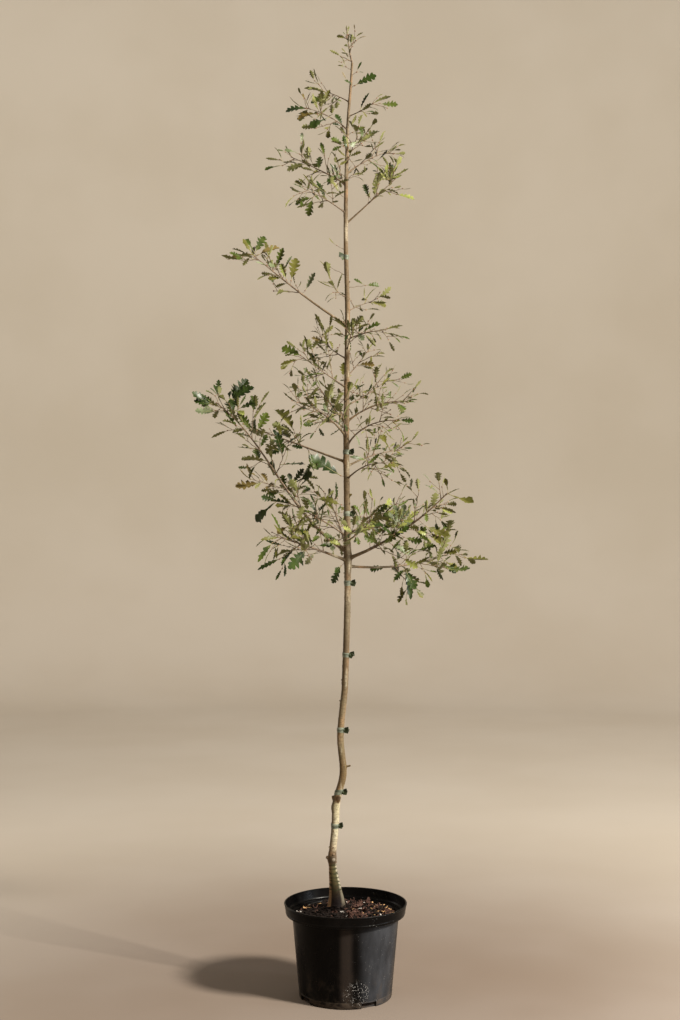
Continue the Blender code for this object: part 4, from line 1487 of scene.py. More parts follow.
LOBED, SPOON, STRAP = LeafKind
OLIVE, GREEN, DARK, SILVER, BRIGHT, BRONZE = Tint
# The BRIGHT and SILVER tufts sit where leaves catch the light, so their tints partly paint that light.
TUFTS = (
    Tuft("right_low", 0.03, 40, 50, 34, GREEN, (
        (LOBED, 30, 50, 44, 64), (LOBED, 190, 62, 38, 60), (SPOON, 350, 14, 40, 70))),
    Tuft("right_low", 0.12, 60, 62, 40, BRIGHT, (
        (LOBED, 20, 56, 42, 62), (LOBED, 180, 40, 38, 64), (LOBED, 350, 20, 40, 60))),
    Tuft("right_low", 0.17, 320, 22, 30, DARK, ((LOBED, 340, 36, 42, 66), (LOBED, 200, 44, 36, 60))),
    Tuft("right_low", 0.3, 340, 66, 24, SILVER, (
        (LOBED, 10, 62, 44, 62), (SPOON, 182, 48, 38, 60), (LOBED, 340, 18, 38, 64))),
    Tuft("right_low", 0.34, 20, -30, 16, GREEN, ((LOBED, 0, -20, 44, 66), (STRAP, 190, -44, 40, 60))),
    Tuft("left_low", 0.12, 190, 50, 28, GREEN, (
        (LOBED, 182, 50, 40, 64), (SPOON, 350, 60, 34, 60), (LOBED, 200, 10, 36, 66))),
    Tuft("left_low", 0.34, 220, 56, 26, OLIVE, (
        (LOBED, 186, 40, 42, 64), (STRAP, 10, 66, 38, 60), (LOBED, 182, -6, 34, 60))),
    Tuft("left_low", 0.5, 170, -30, 18, DARK, ((LOBED, 186, -40, 42, 66), (STRAP, 350, -62, 44, 60))),
    Tuft("left_bushy", 0.3, 200, 50, 22, GREEN, (
        (LOBED, 186, 56, 40, 64), (STRAP, 184, 16, 44, 60), (LOBED, 340, 50, 32, 60))),
    Tuft("left_bushy", 0.75, 175, 20, 20, OLIVE, ((STRAP, 182, 42, 46, 64), (SPOON, 186, 4, 42, 60))),
    Tuft("left_long", 0.94, 178, 20, 24, DARK, (
        (LOBED, 180, 24, 58, 60), (LOBED, 172, 48, 44, 40), (LOBED, 200, 12, 46, 75))),
    Tuft("left_long", 0.92, 190, -4, 20, SILVER, ((LOBED, 184, -6, 50, 70), (SPOON, 160, 22, 40, 50))),
    Tuft("left_long", 0.9, 24, 62, 28, DARK, (
        (LOBED, 15, 56, 66, 70), (LOBED, 350, 40, 62, 78), (LOBED, 60, 66, 50, 40))),
    Tuft("left_long", 0.86, 10, 40, 22, DARK, ((LOBED, 0, 24, 50, 62), (LOBED, 110, 58, 48, 50))),
    Tuft("left_long", 0.9, 330, 20, 12, BRIGHT, ((SPOON, 350, -12, 34, 60), (LOBED, 100, 74, 30, 20))),
    Tuft("left_long", 0.58, 70, 62, 30, GREEN, ((LOBED, 20, 60, 50, 66), (LOBED, 120, 50, 44, 50))),
    Tuft("left_long", 0.06, 182, -6, 36, DARK, (
        (LOBED, 176, 12, 40, 80), (LOBED, 150, 40, 30, 60), (SPOON, 182, -38, 72, 70))),
    Tuft("left_long", 0.16, 40, 30, 20, DARK, ((LOBED, 10, 50, 46, 72), (SPOON, 350, 22, 58, 66))),
    Tuft("left_mid", 0.1, 345, -50, 10, GREEN, ((LOBED, 350, -62, 50, 70), (STRAP, 10, -84, 52, 60))),
    Tuft("left_mid", 0.4, 200, -40, 10, DARK, ((LOBED, 188, -22, 44, 66), (LOBED, 330, -12, 36, 60))),
    Tuft("trunk", 1.179, 185, 22, 6, DARK, ((LOBED, 184, 30, 84, 62),)),
    Tuft("trunk", 1.116, 305, 62, 3, BRONZE, ((SPOON, 340, 72, 20, 60),)),
    Tuft("trunk", 1.115, 192, 12, 5, OLIVE, ((LOBED, 188, 18, 52, 64),)),
    Tuft("trunk", 0.99, 200, -35, 10, DARK, ((LOBED, 196, -62, 46, 76), (LOBED, 235, -28, 32, 50))),
    Tuft("trunk", 1.032, 215, 12, 16, GREEN, (
        (LOBED, 198, 18, 42, 62), (SPOON, 184, -24, 32, 60), (LOBED, 262, 40, 30, 30))),
    Tuft("trunk", 1.022, 240, 4, 12, BRIGHT, ((LOBED, 212, 26, 36, 66), (LOBED, 285, 20, 36, 60))),
    Tuft("trunk", 1.026, 205, -6, 18, SILVER, ((LOBED, 190, 4, 36, 60), (LOBED, 228, -16, 32, 70))),
    Tuft("right_low", 0.0, 100, 62, 26, BRIGHT, (
        (LOBED, 50, 46, 50, 62), (LOBED, 200, 58, 40, 60), (SPOON, 10, 30, 40, 60))),
    Tuft("right_low", 0.08, 300, 10, 18, GREEN, ((LOBED, 350, 30, 52, 66), (LOBED, 190, 24, 44, 60))),
    Tuft("right_low", 0.26, 80, 54, 26, GREEN, (
        (LOBED, 50, 52, 50, 66), (SPOON, 150, 60, 42, 60), (LOBED, 10, 14, 44, 64))),
    Tuft("right_low", 0.2, 350, -36, 16, SILVER, ((LOBED, 350, -20, 46, 60), (SPOON, 20, -50, 40, 60))),
    Tuft("right_low", 0.44, 150, 60, 20, SILVER, ((LOBED, 160, 66, 44, 60), (SPOON, 60, 74, 38, 50))),
    Tuft("right_low", 0.6, 10, -40, 22, OLIVE, ((LOBED, 0, -30, 60, 64), (SPOON, 350, -52, 54, 60))),
    Tuft("right_low", 0.96, 20, 30, 12, OLIVE, ((SPOON, 350, -24, 62, 60), (SPOON, 120, 76, 36, 50))),
    Tuft("right_bushy", 0.2, 330, 42, 20, GREEN, ((LOBED, 340, 34, 50, 66), (LOBED, 200, 50, 40, 60))),
    Tuft("right_bushy", 0.5, 320, 30, 18, BRIGHT, ((LOBED, 40, 54, 44, 60), (LOBED, 345, 6, 44, 66))),
    Tuft("front_low", 0.1, 280, 14, 12, BRIGHT, ((LOBED, 345, 28, 46, 60), (LOBED, 205, 20, 40, 64))),
    Tuft("right_under", 0.18, 350, -56, 8, DARK, (
        (LOBED, 352, -66, 56, 78), (LOBED, 200, -44, 36, 60), (STRAP, 4, -76, 78, 70))),
    Tuft("right_under", 0.0, 150, -10, 12, DARK, ((LOBED, 186, -4, 40, 66),)),
    Tuft("right_mid_up", 0.95, 350, 10, 10, DARK, ((LOBED, 0, -6, 36, 70),)),
    Tuft("trunk", 1.508, 272, 30, 12, BRIGHT, ((SPOON, 240, 56, 34, 40), (LOBED, 300, 34, 36, 50))),
    Tuft("trunk", 1.612, 2, 8, 36, GREEN, ((LOBED, 2, 6, 34, 70), (LOBED, 200, 30, 30, 60))),
    Tuft("trunk", 1.64, 182, 26, 42, OLIVE, ((STRAP, 180, 24, 24, 40),)),
    Tuft("trunk", 1.697, 182, 30, 18, OLIVE, ((STRAP, 180, 34, 26, 40),)),
    Tuft("left_high", 0.0, 20, 50, 10, SILVER, ((LOBED, 4, 56, 48, 64),)),
    Tuft("left_high", 0.25, 60, 70, 10, OLIVE, ((LOBED, 20, 78, 56, 70),)),
    Tuft("left_high", 0.3, 140, 60, 8, BRIGHT, ((LOBED, 150, 70, 44, 60),)),
    Tuft("left_high", 0.62, 40, 50, 10, GREEN, ((LOBED, 8, 64, 50, 66),)),
    Tuft("left_high", 0.98, 60, 40, 10, BRONZE, ((LOBED, 5, 28, 56, 62), (STRAP, 182, 4, 72, 40))),
    Tuft("left_high", 0.98, 120, 60, 12, GREEN, ((LOBED, 20, 62, 52, 70), (SPOON, 168, 62, 44, 60))),
    Tuft("right_crown_low", 0.84, 150, 60, 10, BRIGHT, (
        (STRAP, 176, 12, 32, 60), (STRAP, 182, 34, 38, 66), (STRAP, 176, 56, 40, 60),
        (STRAP, 190, 78, 42, 50), (STRAP, 350, 80, 42, 50), (STRAP, 4, 58, 40, 60),
        (STRAP, 352, 36, 40, 66), (STRAP, 2, 12, 34, 60), (STRAP, 340, 64, 34, 60),
        (STRAP, 200, 66, 34, 60), (STRAP, 215, 24, 30, 60), (STRAP, 335, 20, 30, 60))),
    Tuft("right_crown_low", 0.1, 80, 70, 16, DARK, ((LOBED, 150, 70, 36, 60),)),
    Tuft("trunk", 2.07, 350, 20, 6, DARK, ((LOBED, 354, 28, 56, 64), (LOBED, 205, 24, 26, 50))),
    Tuft("left_top", 0.4, 190, -20, 10, GREEN, ((LOBED, 184, -12, 48, 64), (LOBED, 30, -24, 30, 60))),
    Tuft("left_crown_high", 0.55, 200, -10, 10, BRONZE, ((LOBED, 186, -8, 48, 50),)),
    Tuft("left_crown_low", 0.66, 200, -50, 10, GREEN, (
        (LOBED, 200, -74, 44, 70), (LOBED, 186, -14, 44, 60))),
    Tuft("front_crown", 0.2, 220, 30, 10, DARK, ((LOBED, 196, 62, 36, 66),)),
    Tuft("trunk", 1.975, 200, 20, 8, DARK, ((LOBED, 186, 66, 36, 64), (LOBED, 200, 16, 26, 60))),
    Tuft("trunk", 1.962, 340, 20, 8, OLIVE, ((LOBED, 350, 30, 34, 60), (STRAP, 355, -6, 32, 60))),
    Tuft("trunk", 1.93, 240, 20, 10, GREEN, (
        (LOBED, 190, 30, 34, 60), (LOBED, 200, -20, 30, 70), (STRAP, 340, 20, 34, 50))),
    Tuft("trunk", 1.905, 280, 10, 10, OLIVE, (
        (LOBED, 205, 20, 32, 60), (LOBED, 335, 16, 34, 64), (STRAP, 186, -16, 30, 60))),
    Tuft("trunk", 1.868, 200, 10, 12, DARK, ((LOBED, 190, -30, 34, 66), (STRAP, 184, 40, 34, 60))),
    Tuft("trunk", 1.815, 220, 30, 14, OLIVE, ((LOBED, 192, 56, 30, 60), (STRAP, 188, 10, 34, 60))),
    Tuft("trunk", 2.108, 178, 34, 12, OLIVE, ((STRAP, 182, 62, 24, 60), (STRAP, 172, 18, 22, 70))),
    Tuft("trunk", 2.098, 8, 30, 10, DARK, ((STRAP, 0, 66, 28, 60), (STRAP, 10, 10, 18, 60))),
    Tuft("trunk", 2.078, 185, 40, 8, BRONZE, ((STRAP, 185, 56, 24, 60),)),
    Tuft("leader", 0.2, 200, 30, 10, OLIVE, ((STRAP, 190, 50, 20, 60), (STRAP, 20, 58, 18, 50))),
    Tuft("leader", 0.5, 20, 40, 10, DARK, ((STRAP, 10, 62, 18, 60), (STRAP, 190, 70, 20, 50))),
    Tuft("leader", 0.85, 180, 60, 6, DARK, ((STRAP, 176, 60, 16, 60), (STRAP, 5, 40, 14, 50))),
)


@dataclass(frozen=True)
class Foliage:
    """How leaf kinds and tints are dealt to the sprays."""

    deal: tuple[tuple[Tint, float], ...] = (
        (OLIVE, 0.34), (GREEN, 0.31), (SILVER, 0.13), (DARK, 0.13), (BRONZE, 0.09),
    )
    # limb, first and last share of its stem, tint and how likely it is there; the bright and silver tints on
    # the right-hand and back limbs partly paint the light falling there
    placed: tuple[tuple[str, float, float, Tint, float], ...] = (
        ("left_long", 0.7, 1.01, DARK, 0.75),
        ("left_long", 0.3, 0.7, GREEN, 0.6),
        ("right_crown_low", 0.55, 1.01, BRIGHT, 0.9),
        ("right_low", 0.0, 0.55, BRIGHT, 0.3),
        ("right_low", 0.0, 1.01, SILVER, 0.45),
        ("right_low", 0.0, 1.01, GREEN, 0.5),
        ("right_bushy", 0.0, 1.01, BRIGHT, 0.3),
        ("right_bushy", 0.0, 1.01, GREEN, 0.5),
        ("back_low", 0.0, 1.01, SILVER, 0.45),
        ("front_low", 0.0, 1.01, GREEN, 0.5),
        ("left_low", 0.0, 1.01, OLIVE, 0.4),
        ("left_low", 0.0, 1.01, GREEN, 0.5),
    )
    broad: tuple[str, ...] = ("left_long", "left_high", "left_mid", "right_low", "right_under", "back_low")
    kinds: Triple = (0.58, 0.16, 0.26)
    narrow_kinds: Triple = (0.28, 0.14, 0.58)
    # limb, and how large its leaves grow beside the others
    scales: tuple[tuple[str, float], ...] = (
        ("left_long", 0.79), ("right_low", 0.74), ("right_bushy", 0.65), ("back_low", 0.72),
        ("right_mid_up", 0.8), ("right_high_mid", 0.74), ("right_mid_back", 0.8), ("back_mid", 0.82),
        ("right_upper_mid", 0.84), ("right_mid_low", 0.9), ("right_mid", 0.9), ("left_low", 1.1),
        ("left_bushy", 0.94), ("left_mid", 1.2), ("left_crown_low", 1.12), ("left_crown_mid", 1.14),
        ("left_crown_high", 1.12), ("left_top", 1.1), ("right_small", 1.15), ("left_small", 1.15),
        ("left_high", 0.86),
    )
    variants: int = 3
    free_turn: float = 50.0
    placed_turn: float = 10.0
    stalk_radius: float = 0.0005
    usual_leaf: float = 0.045
    # widths of the stalk and midrib from the root on, and the midrib's line on the blade
    stalk_widths: tuple[float, ...] = (1.25, 1.0, 0.85, 0.6, 0.25)
    rib_line: tuple[float, ...] = (0.0, 0.22, 0.46, 0.7)
    rib_depth: float = 0.0045
    under: LeafSkin = LeafSkin("leaf_underside", (0.088, 0.092, 0.024), (0.172, 0.174, 0.058), 0.68)
    stalk: TwoTone = TwoTone("leaf_stalk", (0.18, 0.16, 0.06), (0.29, 0.26, 0.11), 0.5)

    def tint_of(self, mass: Mass, spray: int) -> Tint:
        """Deal one spray its tint.

        Args:
            mass: the mass that it is in.
            spray: its number, 0 for the stem's own leaves.

        Returns:
            The tint.
        """
        rng = random.Random(f"{mass.limb.name} {spray}")
        share = 0.5
        if spray:
            root = mass.shoots[spray - 1][0]
            share = min(range(len(mass.stem)), key=lambda index: (mass.stem[index] - root).length)
            share /= len(mass.stem) - 1
        for limb, first, last, tint, chance in self.placed:
            if limb == mass.limb.name and first <= share < last and rng.random() < chance:
                return tint
        return rng.choices(*zip(*self.deal))[0]

    def build(self, masses: Sequence[Mass], rule: GrowthRule) -> None:
        """Lay every leaf, joined by tint, and the stalks with their midribs.

        Args:
            masses: the masses of foliage.
            rule: the rule that they grew by.
        """
        blades = {(kind, variant): kind.blade(7 * number + variant)
                  for number, kind in enumerate(LeafKind) for variant in range(self.variants)}
        heaps = {tint: Heap() for tint in Tint}
        nodes: dict[Tint, set[str]] = {tint: set() for tint in Tint}
        stalks, rib = TubeBundle(0), np.array([(0.0, along, -self.rib_depth) for along in self.rib_line])
        for mass in masses:
            rng = random.Random(f"leaves of {mass.limb.name}")
            chances = self.kinds if mass.limb.name in self.broad else self.narrow_kinds
            scale = dict(self.scales).get(mass.limb.name, 1.0)
            tints = {leaf.spray: self.tint_of(mass, leaf.spray) for leaf in mass.leaves if not leaf.tint}
            for leaf in mass.leaves:
                pose = LeafPose.drawn(rng, self.placed_turn if leaf.tint else self.free_turn)
                tint = leaf.tint or tints[leaf.spray]
                if not leaf.tint:
                    leaf = replace(leaf, size=leaf.size * scale)
                kind = leaf.kind or rng.choices(list(LeafKind), chances)[0]
                blade = blades[kind, rng.randrange(self.variants)]
                heaps[tint].add(blade, pose.set(blade.points, leaf, rule.stalk))
                nodes[tint].add(mass.node)
                path = [leaf.root, *map(Vector, pose.set(rib, leaf, rule.stalk))]
                thick = self.stalk_radius * leaf.size / self.usual_leaf
                stalks.add(path, [thick * width for width in self.stalk_widths])
        under = self.under.material()
        for tint, heap in heaps.items():
            name = tint.value.name.replace("leaf", "foliage")
            mesh = heap.mesh(name, [tint.value.material(), under])
            new_piece(name, mesh, sorted(nodes[tint]))
        new_piece("leaf_stalks", stalks.mesh("leaf_stalks", self.stalk.material()),
                  [mass.node for mass in masses])
        log.info("%d leaves", sum(len(mass.leaves) for mass in masses))


# ---- wood
class Stub(NamedTuple):
    """A cut or dormant side shoot on the trunk."""

    height: float
    bearing: float
    rise: float
    length: float
    radius: float


def tapered(foot: float, start: float, end: float, count: int) -> list[float]:
    """Give evenly changing radii, from one share of the foot's radius to another."""
    return [foot * (start - (start - end) * index / (count - 1)) for index in range(count)]


@dataclass(frozen=True)
class Wood:
    """Trunk, boughs, stems, shoots, twigs and buds."""

    trunk: TrunkForm
    rule: GrowthRule
    trunk_sides: int = 28
    trunk_step: float = 0.0034
    roundness: float = 0.985
    limb_sides: int = 12
    stub_sides: int = 10
    taper: float = 0.8
    stem_taper: float = 0.4
    leader_foot: float = 1.1
    bumps: int = 70
    flute_height: float = 0.045
    wrinkle_height: float = 0.278
    shoot_radii: Pair = (0.001, 0.00055)
    twig_radii: Pair = (0.00065, 0.0004)
    shoot_step: float = 0.009
    crook: float = 0.0007
    knuckles: Pair = (0.94, 1.16)
    stub_widths: tuple[float, ...] = (1.5, 1.4, 1.25, 1.0, 0.92, 0.9, 0.72)
    stubs: tuple[Stub, ...] = (
        Stub(0.323, 205, 62, 0.0085, 0.0026), Stub(0.309, 186, 18, 0.0052, 0.0042),
        Stub(0.314, 285, 40, 0.0042, 0.0038), Stub(0.305, 320, -10, 0.002, 0.0034),
        Stub(0.335, 275, 10, 0.0018, 0.0026), Stub(0.37, 262, 25, 0.0034, 0.0022),
        Stub(0.429, 172, 74, 0.0165, 0.004), Stub(0.445, 290, 24, 0.0016, 0.0036),
        Stub(0.52, 345, 14, 0.01, 0.0023), Stub(0.664, 188, 40, 0.0042, 0.0017),
        Stub(0.712, 184, 40, 0.0036, 0.0016), Stub(0.865, 334, 45, 0.0044, 0.0016),
        Stub(0.954, 196, 45, 0.0055, 0.0019), Stub(1.064, 282, 10, 0.0022, 0.0022),
        Stub(1.108, 322, 60, 0.0095, 0.0018), Stub(1.62, 340, 40, 0.005, 0.0014),
    )
    twig_bark: TwoTone = TwoTone("twig_bark", (0.065, 0.04, 0.021), (0.19, 0.128, 0.072), 0.58)
    bud_scales: TwoTone = TwoTone("bud_scales", (0.11, 0.048, 0.024), (0.235, 0.12, 0.062), 0.5)
    cut_wood: TwoTone = TwoTone("cut_wood", (0.06, 0.034, 0.017), (0.185, 0.122, 0.07), 0.85)

    def collar_bumps(self, masses: Sequence[Mass]) -> tuple[np.ndarray, np.ndarray]:
        """Find where limbs, stubs and dormant buds swell the trunk.

        Args:
            masses: the masses, whose limbs leave the trunk, with the leader last.

        Returns:
            The places, and for each its height and its spread.
        """
        trunk, places, sizes = self.trunk, [], []
        for mass in masses[:-1]:
            heading = (mass.bough[1] - mass.bough[0]).normalized()
            flat = max(math.hypot(heading.x, heading.y), 0.5)
            places.append(mass.bough[0] + heading * trunk.radius(mass.limb.foot) / flat)
            sizes.append((mass.limb.radius * 0.55, mass.limb.radius * 1.9 + 0.0015))
        for stub in self.stubs:
            out = bearing_vector(stub.bearing, 0) * trunk.radius(stub.height)
            places.append(trunk.centre(stub.height) + out)
            sizes.append((stub.radius * 0.55, stub.radius * 1.7 + 0.001))
        rng = random.Random(5)
        for _ in range(self.bumps):
            height = rng.uniform(trunk.foot + 0.02, trunk.top)
            out = bearing_vector(rng.uniform(0, 360), 0) * trunk.radius(height)
            places.append(trunk.centre(height) + out)
            sizes.append((rng.uniform(0.0003, 0.0008), rng.uniform(0.0014, 0.003)))
        return np.array([tuple(place) for place in places]), np.array(sizes)

    def build_bark(self, masses: Sequence[Mass]) -> None:
        """Make the skin of the trunk, the boughs and the stubs.

        Args:
            masses: the masses that they carry.
        """
        bm = bmesh.new()
        self.add_trunk(bm, masses)
        for mass in masses:
            if mass.limb.name in BOUGH_LIMBS:
                path = smoothed([*mass.bough, *mass.stem[1:]], 8)[:self.rule.bough_steps * 8 + 1]
                roll_skin(bm, rings_along(path, self.bough_radii(mass, path)), self.limb_sides, 0.0003, 260.0)
        for stub in self.stubs:
            self.add_stub(bm, stub)
        mesh = to_mesh("bark_skin", bm, [BarkSkin().material(), self.cut_wood.material()], crease=70.0)
        new_piece("bark_skin", mesh, ["trunk", *(f"bough_{name}" for name in BOUGH_LIMBS)])

    def add_trunk(self, bm: BMesh, masses: Sequence[Mass]) -> None:
        """Roll the trunk's skin, with its collars, flutes and wrinkles, and paint how far right it is.

        Args:
            bm: where it goes.
            masses: the masses that it carries.
        """
        trunk, side = self.trunk, bm.verts.layers.float.new("side")
        count = round((trunk.top - trunk.foot) / self.trunk_step)
        rings = [Ring(trunk.centre(height), Vector((1, 0, 0)), Vector((0, 1, 0)),
                      trunk.radius(height) * self.roundness)
                 for height in np.linspace(trunk.foot - 0.0002, trunk.top, count + 1)]
        places, sizes = self.collar_bumps(masses)
        for vert in roll_skin(bm, rings, self.trunk_sides, 0.00042, 210.0):
            height = vert.co.z
            out = vert.co - trunk.centre(height)
            out.z = 0.0
            angle = math.atan2(out.y, out.x)
            vert[side] = math.cos(angle)
            gaps = ((places - np.array(vert.co)) ** 2).sum(axis=1)
            swell = float((sizes[:, 0] * np.exp(-gaps / sizes[:, 1] ** 2)).sum())
            root = max(0.0, 1 - (height - trunk.foot) / self.flute_height)
            flute = 0.0016 * root * math.cos(3 * angle + 0.8) + 0.0008 * root * math.cos(5 * angle)
            fold = math.exp(-((height - self.wrinkle_height) / 0.03) ** 2)
            wrinkle = 0.0005 * fold * math.sin(height * 900 + 0.7 * angle)
            vert.co += out.normalized() * (swell + flute + wrinkle)

    def add_stub(self, bm: BMesh, stub: Stub) -> None:
        """Roll the skin of a stub, with bare wood on its cut end.

        Args:
            bm: where it goes.
            stub: which stub.
        """
        start, inside = self.trunk.centre(stub.height), self.trunk.radius(stub.height)
        heading, last = bearing_vector(stub.bearing, stub.rise), len(self.stub_widths) - 1
        path = [start + heading * (inside * 0.4 + (inside * 0.6 + stub.length) * step / last)
                for step in range(last + 1)]
        before = set(bm.faces)
        rings = rings_along(path, [stub.radius * width for width in self.stub_widths])
        roll_skin(bm, rings, self.stub_sides, 0.0003, 420.0)
        for face in set(bm.faces) - before:
            if len(face.verts) > 4:
                face.material_index = 1

    def bough_radii(self, mass: Mass, path: Path) -> list[float]:
        """Taper a bough, and swell its foot where it leaves the trunk.

        Args:
            mass: what it carries.
            path: its path.

        Returns:
            A radius for each point of the path.
        """
        radii = []
        inside = self.trunk.radius(mass.limb.foot)
        for index, point in enumerate(path):
            share = index / (len(path) - 1)
            proud = max((point - path[0]).length - inside, 0.0)
            swell = 1 + 0.55 * math.exp(-proud / 0.006)
            radii.append(mass.limb.radius * (1 - (1 - self.taper) * share) * swell)
        return radii

    def build_twigs(self, masses: Sequence[Mass]) -> None:
        """Make the stems, shoots and twigs, with a bud or two at every tip.

        Args:
            masses: the masses that they are in.
        """
        stems, tubes, tips = TubeBundle(2), TubeBundle(1), []
        for mass in masses:
            rng = random.Random(f"twigs of {mass.limb.name}")
            stem = self.add_stem(mass, stems)
            for shoot in mass.shoots:
                tips.append(self.add_shoot(tubes, rng, nearest_on(stem, shoot[0]), shoot, self.shoot_radii))
            for spray, twig in mass.twigs:
                anchor = nearest_on(stem, twig[0]) if spray == 0 else twig[0]
                tips.append(self.add_shoot(tubes, rng, anchor, twig, self.twig_radii))
            tips.append((stem[-1], (stem[-1] - stem[-2]).normalized()))
        nodes = [mass.node for mass in masses]
        bark = self.twig_bark.material()
        new_piece("stems", stems.mesh("stems", bark), nodes)
        new_piece("twigs", tubes.mesh("twigs", bark), nodes)
        self.build_buds(tips, nodes)

    def add_stem(self, mass: Mass, stems: TubeBundle) -> Path:
        """Make the leafy stretch of a limb, with the bare stretch too where that is no bough.

        Args:
            mass: the mass that it carries.
            stems: where its tube goes.

        Returns:
            Its smooth path.
        """
        limb, steps, line = mass.limb, self.rule.bough_steps, [*mass.bough, *mass.stem[1:]]
        if limb is LEADER:
            path = smoothed([self.trunk.centre(self.trunk.top - 0.004), *mass.stem], 5)
            radii = tapered(limb.radius, self.leader_foot, self.stem_taper, len(path))
        elif limb.name in BOUGH_LIMBS:
            path = smoothed(line, 8)[steps * 8 - 1:]
            radii = tapered(limb.radius * self.taper, 1, self.stem_taper, len(path))
        else:
            bare = smoothed(line, 6)
            path, first = bare[2:], steps * 6 - 2
            foot = self.bough_radii(mass, bare[:steps * 6 + 1])[2:]
            radii = [*foot, *tapered(foot[-1], 1, self.stem_taper, len(path) - first)[1:]]
        stems.add(path, radii)
        return path

    def add_shoot(self, tubes: TubeBundle, rng: random.Random, anchor: Vector, line: Path,
                  radii: Pair) -> tuple[Vector, Vector]:
        """Make one shoot or twig, a little crooked from leaf to leaf.

        Args:
            tubes: where its tube goes.
            rng: the draws.
            anchor: the point on its parent that it starts from.
            line: its root and tip.
            radii: its radius at each of them.

        Returns:
            Its tip, and its heading there.
        """
        (root, tip), (thick, thin) = line, radii
        heading = (tip - root).normalized()
        side = heading.cross(bearing_vector(rng.uniform(0, 360), 20)).normalized()
        steps = max(3, round((tip - root).length / self.shoot_step))
        path, widths = [anchor], [thick * 1.5]
        for step in range(1, steps + 1):
            share = step / steps
            crook = side * (self.crook if step % 2 else -self.crook) * (step < steps)
            path.append(root + (tip - root) * share + crook)
            widths.append((thick + (thin - thick) * share) * self.knuckles[step % 2])
        tubes.add(path, widths)
        return tip, heading

    def bud(self) -> Shape:
        """Shape one pointed bud, about one unit long and upright.

        Returns:
            The bud.
        """
        bm = bmesh.new()
        bmesh.ops.create_uvsphere(bm, u_segments=6, v_segments=5, radius=1.0)
        for vert in bm.verts:
            height = vert.co.z
            narrow = 0.46 * (1.0 - 0.35 * max(height, 0.0) - 0.1 * min(height, 0.0))
            vert.co = (vert.co.x * narrow, vert.co.y * narrow, (height + 0.7) * 0.62)
        return Shape.taken_from(bm)

    def build_buds(self, tips: Sequence[tuple[Vector, Vector]], nodes: Sequence[str]) -> None:
        """Set brown buds at the tips.

        Args:
            tips: each tip with its heading.
            nodes: the solids that the buds belong to.
        """
        shape, heap, rng = self.bud(), Heap(), random.Random(23)
        for tip, heading in tips:
            for number in range(rng.choice((1, 2, 3))):
                lean = 6 if number == 0 else rng.uniform(28, 48)
                toward = split_from(heading, rng.uniform(0, 360), lean, 0.0)
                turn = np.array(UP.rotation_difference(toward).to_matrix())
                size = rng.uniform(0.0024, 0.0036) * (1.0 if number == 0 else 0.8)
                heap.add(shape, np.array(tip) + shape.points @ turn.T * size)
        new_piece("buds", heap.mesh("buds", [self.bud_scales.material()], 80.0), nodes)


